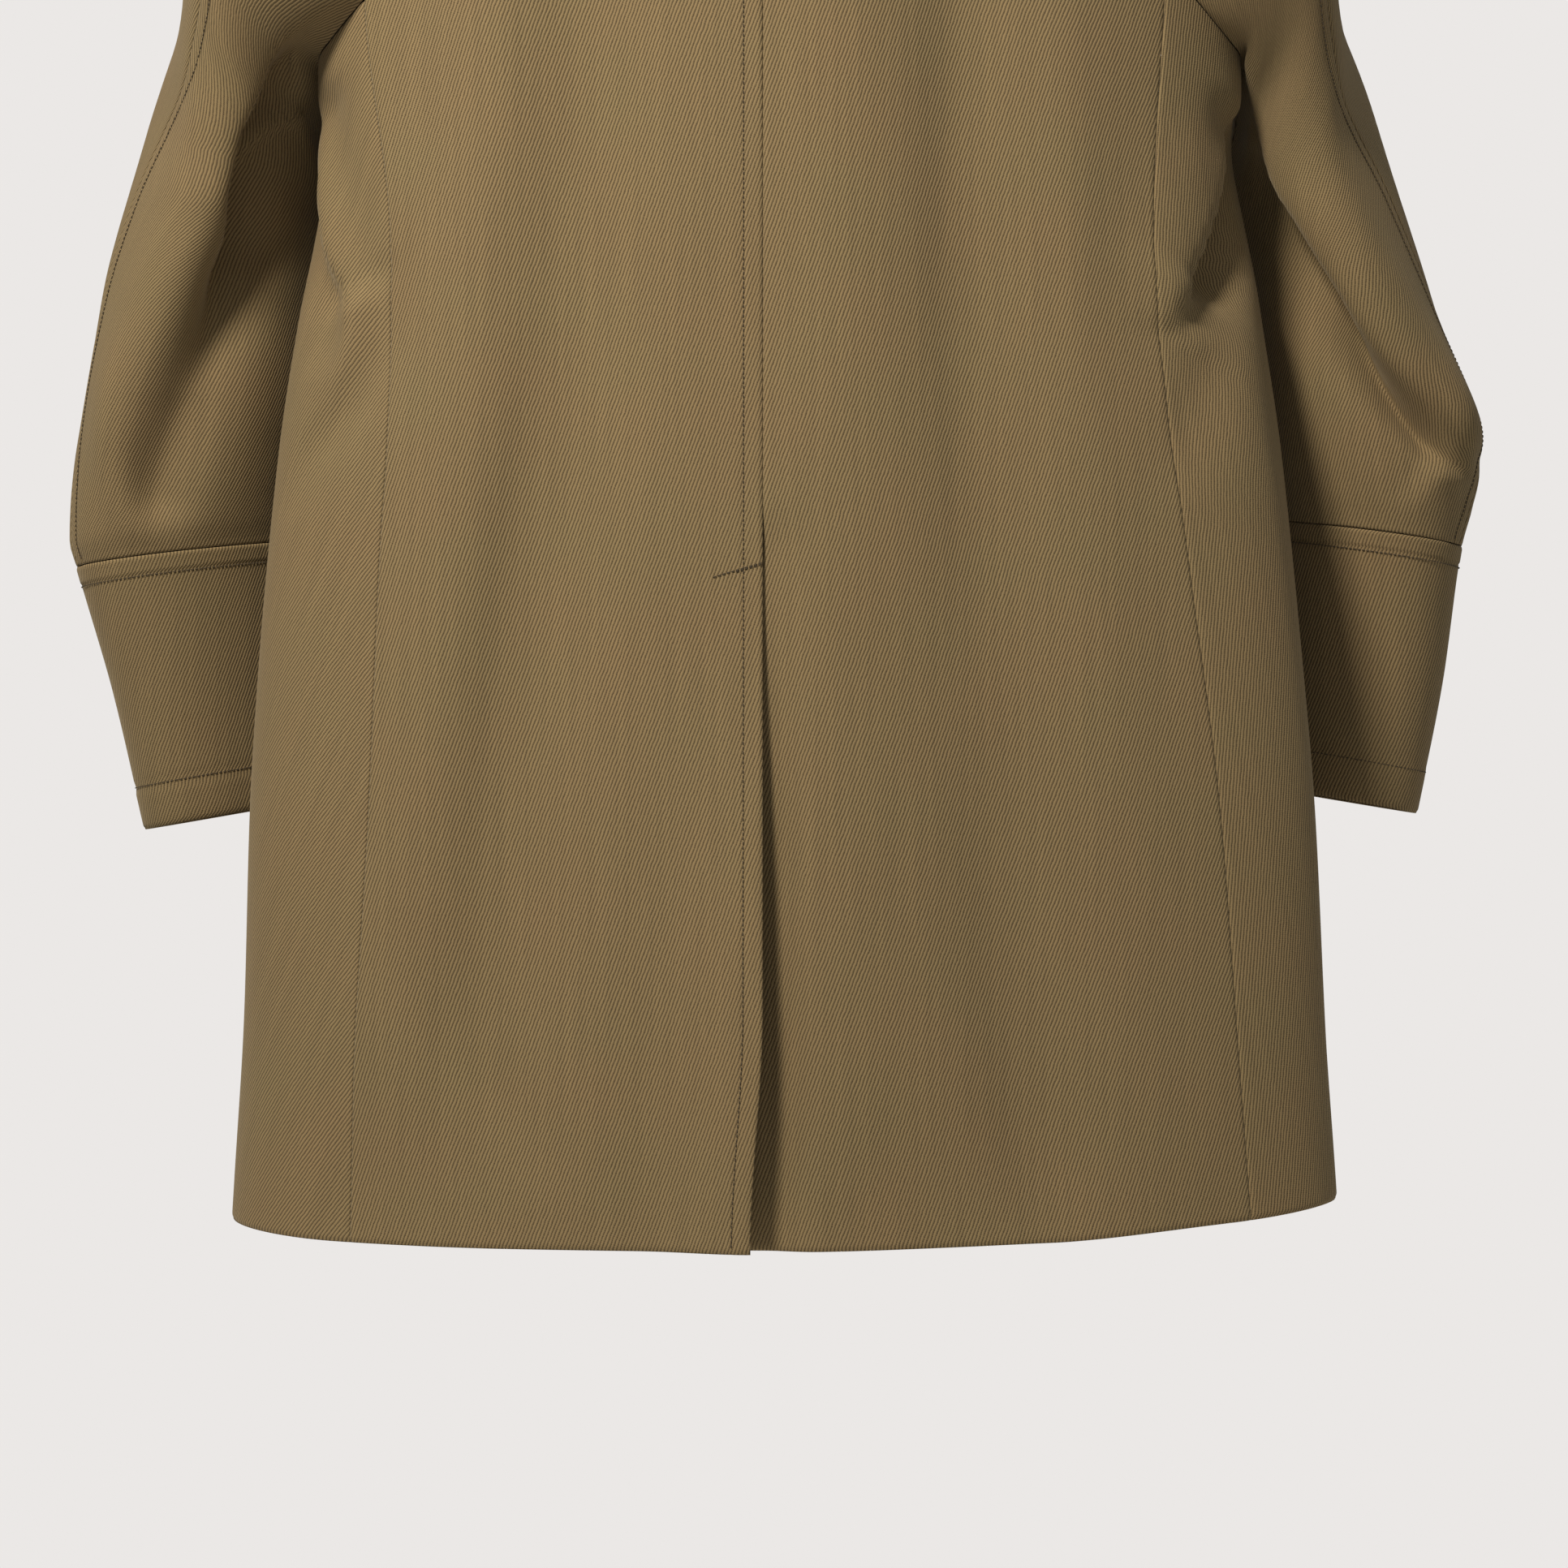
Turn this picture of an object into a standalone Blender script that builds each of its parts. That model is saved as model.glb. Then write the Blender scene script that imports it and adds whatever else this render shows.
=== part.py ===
"""A hung polo coat of wool twill: two backs with a centre vent, two wrapping fronts, raglan sleeves,
deep cuffs, collar, lapels and buttons. Metres, +Z up. The back of the coat faces -Y, and -X is the
wearer's left. The origin lies between the shoulders, where the coat is held up."""

from collections import namedtuple

import bpy
import numpy as np
from mathutils import Matrix, Vector

# Driving sizes, in metres
CLOTH = 0.0020              # thickness of the coating
SEAM_GAP = 0.0003           # clear space between two pieces at a seam
LAYER_GAP = 0.0011          # clear space between layers that lie on each other
SQUARENESS = 2.5            # exponent of the body's rounded section, 2 is an ellipse
CENTRE_BACK_X = -0.0092     # the centre back seam hangs a little to the wearer's left
VENT_TOP_Z = -0.554
VENT_UNDERLAP = 0.045       # width of the vent's lower layer
VENT_LIFT = 0.010           # how far the upper layer stands off at the hem
OVERLAP = 0.080             # each front runs this far past the centre front
BREAK_Z = -0.330            # where the lapel starts to turn
NECK_CORNER = (0.0773, -0.035)  # x and z where a front's neckline meets its raglan seam
RAGLAN_SHARE = 0.55         # share of a front's upper edge that is raglan seam
BUTTON_RADIUS = 0.015
BUTTON_THICK = 0.0045
BUTTON_COLUMN_X = 0.055
BUTTON_ROWS_Z = (-0.385, -0.505, -0.625)
LEFT, RIGHT = -1, 1

# Body sections, hem to neck: half width, and depth behind and in front of the middle
Section = namedtuple("Section", "z half_width back front")
BODY = (
    Section(-0.940, 0.3115, 0.112, 0.108),
    Section(-0.903, 0.3093, 0.111, 0.107),
    Section(-0.806, 0.3035, 0.109, 0.106),
    Section(-0.691, 0.3003, 0.106, 0.104),
    Section(-0.599, 0.2946, 0.103, 0.102),
    Section(-0.484, 0.2835, 0.100, 0.102),
    Section(-0.391, 0.2700, 0.098, 0.104),
    Section(-0.322, 0.2630, 0.098, 0.106),
    Section(-0.250, 0.2610, 0.099, 0.107),
    Section(-0.180, 0.2520, 0.100, 0.106),
    Section(-0.100, 0.2380, 0.094, 0.100),
    Section(-0.040, 0.2150, 0.082, 0.091),
    Section(0.010, 0.1900, 0.070, 0.084),
)

# Where the side-back seam runs, on each side
SeamPoint = namedtuple("SeamPoint", "z left right")
SIDE_BACK_SEAM = (
    SeamPoint(-0.940, 0.2370, 0.2600),
    SeamPoint(-0.825, 0.2331, 0.2511),
    SeamPoint(-0.690, 0.2255, 0.2410),
    SeamPoint(-0.556, 0.2206, 0.2243),
    SeamPoint(-0.467, 0.2160, 0.2131),
    SeamPoint(-0.378, 0.2160, 0.2060),
    SeamPoint(-0.243, 0.2309, 0.2131),
    SeamPoint(-0.150, 0.2330, 0.2180),
)

# Hem height round the body, by the turn from the centre back
HemPoint = namedtuple("HemPoint", "turn left right")
HEM = (
    HemPoint(-30, -0.930, -0.930),
    HemPoint(0, -0.930, -0.930),
    HemPoint(55, -0.929, -0.926),
    HemPoint(72, -0.927, -0.917),
    HemPoint(90, -0.920, -0.905),
    HemPoint(110, -0.922, -0.914),
    HemPoint(140, -0.925, -0.923),
    HemPoint(240, -0.926, -0.926),
)

# Raglan seam, by the turn from the centre back: neck, armpit, neck
RaglanPoint = namedtuple("RaglanPoint", "turn z")
RAGLAN = (
    RaglanPoint(0.0, -0.024),
    RaglanPoint(20.0, -0.021),
    RaglanPoint(38.5, -0.014),
    RaglanPoint(49.0, -0.060),
    RaglanPoint(60.6, -0.130),
    RaglanPoint(70.0, -0.200),
    RaglanPoint(76.0, -0.240),
    RaglanPoint(83.0, -0.262),
    RaglanPoint(90.0, -0.268),
    RaglanPoint(97.0, -0.262),
    RaglanPoint(104.0, -0.240),
    RaglanPoint(111.3, -0.200),
    RaglanPoint(120.7, -0.135),
    RaglanPoint(133.2, -0.075),
    RaglanPoint(138.5, -0.035),
)

# The body's largest folds: a line between two points, by girth from the centre back, left minus, and height
BodyFold = namedtuple("BodyFold", "girth_a z_a girth_b z_b half_width rise")
BODY_FOLDS = (
    BodyFold(-0.160, -0.16, -0.205, -0.86, 0.034, 0.0050),
    BodyFold(-0.112, -0.16, -0.150, -0.86, 0.036, -0.0050),
    BodyFold(0.035, -0.16, 0.030, -0.90, 0.040, 0.0045),
    BodyFold(0.103, -0.16, 0.138, -0.92, 0.038, -0.0070),
    BodyFold(-0.300, -0.290, -0.256, -0.405, 0.024, -0.0090),
    BodyFold(0.298, -0.300, 0.250, -0.400, 0.024, -0.0100),
    BodyFold(-0.430, -0.40, -0.440, -0.93, 0.036, 0.0060),
    BodyFold(0.430, -0.40, 0.440, -0.93, 0.036, 0.0060),
    BodyFold(-0.490, -0.42, -0.500, -0.93, 0.034, -0.0050),
    BodyFold(0.490, -0.42, 0.500, -0.93, 0.034, -0.0050),
)

# Upper sleeve, neck to armpit: turns of the two raglan points and the over-arm point
Shoulder = namedtuple("Shoulder", "station back_turn front_turn x y z")
SHOULDER = (
    Shoulder(0.00, 38.5, 138.5, 0.080, 0.004, 0.006),
    Shoulder(0.25, 50.0, 131.0, 0.138, 0.003, -0.010),
    Shoulder(0.50, 62.0, 119.5, 0.202, 0.002, -0.038),
    Shoulder(0.70, 71.0, 110.5, 0.257, 0.003, -0.083),
    Shoulder(0.86, 79.0, 101.0, 0.302, 0.006, -0.145),
    Shoulder(1.00, 90.0, 90.0, 0.333, 0.012, -0.215),
)

# Lower sleeve, armpit to cuff hem: outer and inner point, and how deep the back and front bulge
Arm = namedtuple("Arm", "station xo yo zo xi yi zi back front")
ARM_LEFT = (
    Arm(1.00, 0.3330, 0.012, -0.2200, 0.2612, 0.000, -0.2680, 0.083, 0.072),
    Arm(1.08, 0.3465, 0.013, -0.2580, 0.2620, 0.031, -0.2960, 0.076, 0.068),
    Arm(1.18, 0.3612, 0.014, -0.3080, 0.2530, 0.061, -0.3350, 0.070, 0.062),
    Arm(1.38, 0.3870, 0.017, -0.3970, 0.2620, 0.072, -0.4100, 0.062, 0.052),
    Arm(1.60, 0.4050, 0.022, -0.4950, 0.2710, 0.082, -0.4900, 0.054, 0.044),
    Arm(1.70, 0.4067, 0.026, -0.5350, 0.2730, 0.087, -0.5200, 0.049, 0.041),
    Arm(1.74, 0.4030, 0.028, -0.5500, 0.2720, 0.090, -0.5330, 0.044, 0.039),
    Arm(1.90, 0.3836, 0.040, -0.6220, 0.2700, 0.099, -0.6040, 0.038, 0.036),
    Arm(2.10, 0.3670, 0.053, -0.7014, 0.2640, 0.108, -0.6830, 0.033, 0.033),
)
ARM_RIGHT = (
    Arm(1.00, 0.3095, 0.012, -0.2200, 0.2612, 0.000, -0.2680, 0.083, 0.072),
    Arm(1.08, 0.3260, 0.013, -0.2580, 0.2620, 0.031, -0.2960, 0.076, 0.068),
    Arm(1.18, 0.3408, 0.014, -0.3080, 0.2530, 0.061, -0.3350, 0.070, 0.062),
    Arm(1.38, 0.3720, 0.017, -0.4000, 0.2620, 0.072, -0.4080, 0.062, 0.052),
    Arm(1.56, 0.4019, 0.022, -0.4900, 0.2710, 0.082, -0.4820, 0.054, 0.044),
    Arm(1.68, 0.3957, 0.026, -0.5180, 0.2730, 0.087, -0.5050, 0.049, 0.041),
    Arm(1.74, 0.3903, 0.028, -0.5380, 0.2720, 0.090, -0.5210, 0.044, 0.039),
    Arm(1.90, 0.3812, 0.040, -0.6150, 0.2700, 0.099, -0.5970, 0.038, 0.036),
    Arm(2.10, 0.3679, 0.053, -0.6920, 0.2640, 0.108, -0.6740, 0.033, 0.033),
)
CUFF_STATION, CUFF_END = 1.74, 2.10
UPPER_STATIONS = 12

# Where the over-arm seam lies round the sleeve, which it leaves towards the back beside the armpit
SeamPlace = namedtuple("SeamPlace", "station place")
OVER_ARM_SEAM = (
    SeamPlace(0.00, 1.00),
    SeamPlace(0.40, 0.96),
    SeamPlace(0.70, 0.84),
    SeamPlace(0.88, 0.66),
    SeamPlace(1.00, 0.56),
    SeamPlace(1.09, 0.70),
    SeamPlace(1.17, 0.89),
    SeamPlace(1.26, 0.97),
    SeamPlace(1.40, 1.00),
    SeamPlace(2.20, 1.00),
)

# The sleeves' largest folds: a line by station and by place round the sleeve, 0 under the arm, 1 over it
SleeveFold = namedtuple("SleeveFold", "station_a place_a station_b place_b width rise")
SLEEVE_FOLDS_LEFT = (
    SleeveFold(1.22, 0.36, 1.68, 0.66, 0.11, -0.012),
    SleeveFold(1.04, 0.36, 1.58, 0.84, 0.12, 0.007),
    SleeveFold(1.47, 1.02, 1.64, 1.40, 0.10, -0.005),
)
SLEEVE_FOLDS_RIGHT = (
    SleeveFold(1.28, 0.30, 1.58, 0.76, 0.11, -0.009),
    SleeveFold(1.06, 0.30, 1.52, 0.94, 0.12, 0.007),
    SleeveFold(1.47, 1.02, 1.64, 1.40, 0.10, -0.005),
)

# Collar, centre back to gorge: height and inward lean of the stand, and the outer edge of the fall
CollarRow = namedtuple("CollarRow", "along stand lean edge_x edge_y edge_z")
COLLAR = (
    CollarRow(0.00, 0.040, 0.000, 0.000, -0.0980, -0.0570),
    CollarRow(0.30, 0.038, 0.000, 0.082, -0.0960, -0.0500),
    CollarRow(0.42, 0.034, 0.002, 0.127, -0.0640, -0.0150),
    CollarRow(0.55, 0.028, 0.004, 0.148, -0.0050, 0.0020),
    CollarRow(0.80, 0.011, 0.000, 0.146, 0.0780, -0.0420),
    CollarRow(1.00, 0.003, 0.000, 0.113, 0.1080, -0.0880),
)
COLLAR_ROLL = 0.005         # radius of the crease at the top of the stand
COLLAR_END = 0.875          # share of the roll line where the collar meets the lapel

# Lapel width by the share of the roll line, from the break point up
LapelPoint = namedtuple("LapelPoint", "share width")
LAPEL = (
    LapelPoint(0.00, 0.006),
    LapelPoint(0.15, 0.032),
    LapelPoint(0.40, 0.067),
    LapelPoint(0.70, 0.092),
    LapelPoint(0.86, 0.099),
)


def smooth(rows, column, at):
    """Value of a table's column on a smooth curve through its rows; the first column is the place."""
    place = np.array([row[0] for row in rows], float)
    value = np.array([getattr(row, column) for row in rows], float)
    at = np.asarray(at, float)
    step = np.diff(place)
    slope = np.diff(value) / step
    product = slope[:-1] * slope[1:]
    total = np.where(product > 0, slope[:-1] + slope[1:], 1.0)
    inner = np.where(product > 0, 2.0 * product / total, 0.0)
    tangent = np.concatenate(([slope[0]], inner, [slope[-1]]))
    index = np.clip(np.searchsorted(place, at) - 1, 0, len(place) - 2)
    share = np.clip((at - place[index]) / step[index], 0.0, 1.0)
    past = at - place[index] - share * step[index]
    cubic = (
        value[index] * (1 + 2 * share) * (1 - share) ** 2
        + value[index + 1] * share ** 2 * (3 - 2 * share)
        + tangent[index] * step[index] * share * (1 - share) ** 2
        - tangent[index + 1] * step[index] * share ** 2 * (1 - share)
    )
    return cubic + past * np.where(past > 0, tangent[index + 1], tangent[index])


def ease(value):
    """Soft step from 0 to 1."""
    value = np.clip(value, 0.0, 1.0)
    return value * value * (3.0 - 2.0 * value)


def mix(first, second, share):
    """Straight blend of two values or points."""
    return first + (second - first) * share


def unit(vectors):
    """Vectors scaled to length one."""
    return vectors / np.linalg.norm(vectors, axis=-1, keepdims=True)


def points(x, y, z):
    """Three arrays joined into points."""
    return np.stack(np.broadcast_arrays(x, y, z), axis=-1)


def nominal_girth():
    """Table of the way round a middling section against the turn from the centre back."""
    turn = np.radians(np.linspace(-70.0, 260.0, 661))
    radius = (np.abs(np.sin(turn) / 0.285) ** SQUARENESS + np.abs(np.cos(turn) / 0.103) ** SQUARENESS)
    radius = radius ** (-1.0 / SQUARENESS)
    x, y = radius * np.sin(turn), -radius * np.cos(turn)
    way = np.concatenate(([0.0], np.cumsum(np.hypot(np.diff(x), np.diff(y)))))
    return turn, way - np.interp(0.0, turn, way)


GIRTH_TURN, GIRTH_WAY = nominal_girth()


def fold_rise(girth, z):
    """Height of the body's folds at a place: soft ridges and troughs along straight lines."""
    rise = np.zeros(np.broadcast(girth, z).shape)
    for fold in BODY_FOLDS:
        run_g, run_z = fold.girth_b - fold.girth_a, fold.z_b - fold.z_a
        length = np.hypot(run_g, run_z)
        along = ((girth - fold.girth_a) * run_g + (z - fold.z_a) * run_z) / length ** 2
        across = ((girth - fold.girth_a) * run_z - (z - fold.z_a) * run_g) / length
        ends = ease(along / 0.18 + 0.5) * ease((1.0 - along) / 0.18 + 0.5)
        rise = rise + fold.rise * ends * np.exp(-((across / fold.half_width) ** 2))
    return rise


def body(side, turn, z, out=0.0):
    """Point of the outer face: a rounded section at height z, turned from the centre back, plus folds."""
    half = smooth(BODY, "half_width", z)
    depth = np.where(np.cos(turn) > 0, smooth(BODY, "back", z), smooth(BODY, "front", z))
    sine, cosine = np.sin(turn), np.cos(turn)
    power = SQUARENESS
    radius = (np.abs(sine / half) ** power + np.abs(cosine / depth) ** power) ** (-1.0 / power)
    lean_x = np.sign(sine) * np.abs(radius * sine) ** (power - 1) / half ** power
    lean_y = -np.sign(cosine) * np.abs(radius * cosine) ** (power - 1) / depth ** power
    lean = np.hypot(lean_x, lean_y)
    rise = out + fold_rise(side * np.interp(turn, GIRTH_TURN, GIRTH_WAY), z)
    return points(
        side * (radius * sine + rise * lean_x / lean),
        -radius * cosine + rise * lean_y / lean,
        z,
    )


def turn_at(x, z, face):
    """Turn from the centre back of the point at a given x on the back or front face."""
    half, depth = smooth(BODY, "half_width", z), smooth(BODY, face, z)
    inside = np.maximum(1.0 - np.abs(x / half) ** SQUARENESS, 0.0)
    y = depth * inside ** (1.0 / SQUARENESS)
    return np.arctan2(x, y) if face == "back" else np.arctan2(x, -y)


def side_name(side):
    return "left" if side == LEFT else "right"


def hem_z(side, turn):
    return smooth(HEM, side_name(side), np.degrees(turn))


def raglan_z(turn):
    return smooth(RAGLAN, "z", np.degrees(turn))


def roll_z(x):
    """Height of the lapel's roll line at a distance from the centre front."""
    return mix(NECK_CORNER[1], BREAK_Z, (NECK_CORNER[0] - x) / (NECK_CORNER[0] + OVERLAP))


def back_x(side, across, z):
    """Distance from the middle, outward on this side, at a share of a back panel's width."""
    centre = side * CENTRE_BACK_X
    return mix(centre, smooth(SIDE_BACK_SEAM, side_name(side), z), across)


def back_panel(side):
    """Surface of one back: across from the centre back seam to the side-back seam, up from hem to raglan."""

    def surface(across, up):
        top = np.full(np.broadcast(across, up).shape, -0.15)
        for _ in range(8):
            top = raglan_z(turn_at(back_x(side, across, top), top, "back"))
        hem = hem_z(side, turn_at(back_x(side, across, -0.93), -0.93, "back"))
        z = mix(hem, top - SEAM_GAP, up)
        x = back_x(side, across, z)
        near = np.abs(x - side * CENTRE_BACK_X)
        below = ease((VENT_TOP_Z - z) / 0.37)
        if side == LEFT:
            out = VENT_LIFT * below * ease(1.0 - near / 0.07)
            x = x + 0.0066 * ease((-0.80 - z) / 0.13) * ease(1.0 - near / 0.07)
        else:
            tucked = ease((VENT_TOP_Z + 0.035 - z) / 0.03)
            out = -(CLOTH + LAYER_GAP) * tucked * ease(1.0 - (x - side * CENTRE_BACK_X) / 0.03)
        return body(side, turn_at(x, z, "back"), z, out)

    return surface


def seam_top(side):
    """Turn and height where the side-back seam runs into the raglan seam."""
    z = -0.24
    for _ in range(20):
        turn = turn_at(smooth(SIDE_BACK_SEAM, side_name(side), z), z, "back")
        z = mix(z, raglan_z(turn), 0.5)
    return turn, z


def front_rim(side, around):
    """Turn and height of a front's upper edge: raglan seam up to the neck corner, then roll line down."""
    first, corner = seam_top(side)[0], np.radians(RAGLAN[-1].turn)
    rising = mix(first, corner, around / RAGLAN_SHARE)
    x = mix(NECK_CORNER[0], -OVERLAP, (around - RAGLAN_SHARE) / (1.0 - RAGLAN_SHARE))
    falling = np.mod(turn_at(x, roll_z(x), "front"), 2.0 * np.pi)
    on_raglan = around < RAGLAN_SHARE
    return np.where(on_raglan, rising, falling), np.where(on_raglan, raglan_z(rising), roll_z(x))


def front_ends(side, z):
    """Girth of the side-back seam and of the front edge at a height."""
    below = np.minimum(z, seam_top(side)[1])
    start = turn_at(smooth(SIDE_BACK_SEAM, side_name(side), below), below, "back")
    end = np.mod(turn_at(-OVERLAP, z, "front"), 2.0 * np.pi)
    return np.interp(start, GIRTH_TURN, GIRTH_WAY), np.interp(end, GIRTH_TURN, GIRTH_WAY)


def front_layer(side, x, y):
    """How far a front is moved out or in where the two fronts cross."""
    reach = ease((0.115 - x) / 0.03) * (y > 0)
    return reach * (0.0035 if side == LEFT else -0.0025)


def front_panel(side):
    """Surface of one front: around from the side-back seam to the front edge, up from the hem."""

    def surface(around, up):
        turn, top = front_rim(side, around)
        low, high = front_ends(side, top)
        share = (np.interp(turn, GIRTH_TURN, GIRTH_WAY) - low) / (high - low)
        low, high = front_ends(side, -0.925)
        hem = hem_z(side, np.interp(mix(low, high, around), GIRTH_WAY, GIRTH_TURN))
        z = mix(hem, top - SEAM_GAP, up)
        low, high = front_ends(side, z)
        turn = np.interp(mix(low, high, mix(around, share, up)), GIRTH_WAY, GIRTH_TURN)
        plain = body(RIGHT, turn, z)
        return body(side, turn, z, front_layer(side, plain[..., 0], plain[..., 1]))

    return surface


def lapel_panel(side):
    """Surface of one lapel: the front's own points beside the roll line, moved out by a layer."""

    def surface(share, over):
        width = smooth(LAPEL, "width", share)
        run = np.array([NECK_CORNER[0] + OVERLAP, NECK_CORNER[1] - BREAK_Z])
        length = np.hypot(*run)
        across = np.array([run[1], -run[0]]) / length
        reach = mix(-0.003, width, over)
        x = -OVERLAP + share * run[0] + reach * across[0]
        z = BREAK_Z + share * run[1] + reach * across[1]
        turn = turn_at(x, z, "front")
        turn = np.where(turn < 0, turn + 2.0 * np.pi, turn)
        out = front_layer(side, x, 1.0) + CLOTH + LAYER_GAP
        return body(side, turn, z, out)

    return surface


def sleeve_rows(side):
    return ARM_LEFT if side == LEFT else ARM_RIGHT


OverArm = namedtuple("OverArm", "station x y z")


def over_arm(side, station):
    """Point of the over-arm seam, from neck to cuff hem."""
    arm = sleeve_rows(side)
    spread = arm[0].xo / SHOULDER[-1].x
    rows = [
        OverArm(row.station, row.x * mix(1.0, spread, row.station), row.y, row.z)
        for row in SHOULDER[:-1]
    ]
    rows += [OverArm(row.station, row.xo, row.yo, row.zo) for row in arm]
    return points(smooth(rows, "x", station), smooth(rows, "y", station), smooth(rows, "z", station))


def sleeve_base(side, station, place):
    """Sleeve without folds: each half is a curve from the raglan or under-arm seam to the over-arm seam."""
    arm = sleeve_rows(side)
    station, place = np.broadcast_arrays(np.asarray(station, float), np.asarray(place, float))
    place = np.where(station < 1.0, place, np.mod(place, 2.0))
    behind = place < 1.0
    lower = np.maximum(station, 1.0)
    upper = np.minimum(station, 1.0)
    turn = np.radians(np.where(
        behind, smooth(SHOULDER, "back_turn", upper), smooth(SHOULDER, "front_turn", upper)))
    height = raglan_z(turn)
    seam = body(RIGHT, turn, height)
    under = points(smooth(arm, "xi", lower), smooth(arm, "yi", lower), smooth(arm, "zi", lower))
    armpit = body(RIGHT, np.pi / 2, raglan_z(np.pi / 2)) - points(arm[0].xi, arm[0].yi, arm[0].zi)
    under = under + armpit * ease((1.08 - lower) / 0.08)[..., None]
    start = np.where((station < 1.0)[..., None], seam, under)
    end = over_arm(side, station)
    chord = unit(end - start)
    aim = np.zeros(start.shape)
    aim[..., 1] = np.where(behind, -1.0, 1.0)
    square = unit(aim - (aim * chord).sum(-1, keepdims=True) * chord)
    lift = np.where(behind, 0.12, -0.12)
    along_body = unit(body(RIGHT, turn + lift, height + 0.012) - seam)
    past = 0.12 + np.where(behind, 0.50, -0.30) * ease((1.55 - station) / 0.35) * ease((station - 1.0) / 0.1)
    clear = unit(aim + points(past, 0.0, 0.0))
    lean = 0.5 * ease((1.06 - station) / 0.12)
    at_armpit = unit(clear + lean[..., None] * chord)
    leave = unit(mix(along_body, at_armpit, ease((station - 0.35) / 0.65)[..., None]))
    bulge = np.where(behind, smooth(arm, "back", lower), smooth(arm, "front", lower))
    gap = np.linalg.norm(end - start, axis=-1)
    handle = mix(0.42 * gap, bulge * 4.0 / 3.0, ease((station - 0.3) / 0.7))
    first = start + leave * handle[..., None]
    arrive = unit(mix(aim, square, ease((station - 0.5) / 0.5)[..., None]))
    second = end + arrive * handle[..., None]
    share = np.where(behind, place, 2.0 - place)[..., None]
    curve = (
        start * (1 - share) ** 3
        + first * 3 * share * (1 - share) ** 2
        + second * 3 * share ** 2 * (1 - share)
        + end * share ** 3
    )
    return curve * np.array([side, 1.0, 1.0])


def surface_normal(surface, u, v, step=0.004):
    """Unit normal of a two-parameter surface from small steps along both parameters."""
    along_u = surface(u + step, v) - surface(u - step, v)
    along_v = surface(u, v + step) - surface(u, v - step)
    return unit(np.cross(along_u, along_v))


def sleeve_folds(side, station, place):
    """Height of the sleeve's folds: soft troughs and ridges along straight lines on the unrolled sleeve."""
    rise = np.zeros(np.broadcast(station, place).shape)
    for fold in SLEEVE_FOLDS_LEFT if side == LEFT else SLEEVE_FOLDS_RIGHT:
        run_s, run_p = fold.station_b - fold.station_a, fold.place_b - fold.place_a
        length = np.hypot(run_s, run_p)
        along = ((station - fold.station_a) * run_s + (place - fold.place_a) * run_p) / length ** 2
        across = ((station - fold.station_a) * run_p - (place - fold.place_a) * run_s) / length
        ends = ease(along / 0.4 + 0.5) * ease((1.0 - along) / 0.2 + 0.5)
        rise = rise + fold.rise * ends * np.exp(-((across / fold.width) ** 2))
    return rise * ease((CUFF_STATION - station) / 0.08)


def seam_place(station, place):
    """Place round the sleeve by shares of its two halves: 0 to 1 behind the over-arm seam, 1 to 2 before it."""
    seam = smooth(OVER_ARM_SEAM, "place", station)
    return np.where(place < 1.0, seam * place, 2.0 - (2.0 - seam) * (2.0 - place))


def sleeve(side):
    """Surface of one sleeve: station from neck to cuff hem, place round it."""

    def base(station, place):
        return sleeve_base(side, station, place)

    def surface(station, place):
        open_up = 0.004 * np.exp(-(((station - 1.01) / 0.05) ** 2))
        place = place + open_up * np.where(place < 1.0, 1.0, -1.0) * np.abs(1.0 - place) ** 6
        place = seam_place(station, place)
        normal = surface_normal(base, station, place, 0.002) * side
        return base(station, place) + normal * sleeve_folds(side, station, place)[..., None]

    return surface


def neckline(along):
    """Foot of the collar on one side: back neck, top of the sleeve, then the roll line down to the gorge."""
    back_turn = np.radians(np.clip(along / 0.30, -0.2, 1.0) * SHOULDER[0].back_turn)
    on_back = body(RIGHT, back_turn, raglan_z(back_turn))
    on_sleeve = sleeve_base(RIGHT, np.zeros(np.shape(along)), np.clip((along - 0.30) / 0.25, 0.0, 2.0))
    share = mix(1.0, COLLAR_END, np.clip((along - 0.80) / 0.20, 0.0, 1.2))
    x = -OVERLAP + share * (NECK_CORNER[0] + OVERLAP)
    on_front = body(RIGHT, turn_at(x, roll_z(x), "front"), roll_z(x), 0.0035)
    low = np.where((along < 0.30)[..., None], on_back, on_sleeve)
    return np.where((along < 0.80)[..., None], low, on_front) + np.array([0.0, 0.0, 0.0010])


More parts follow.
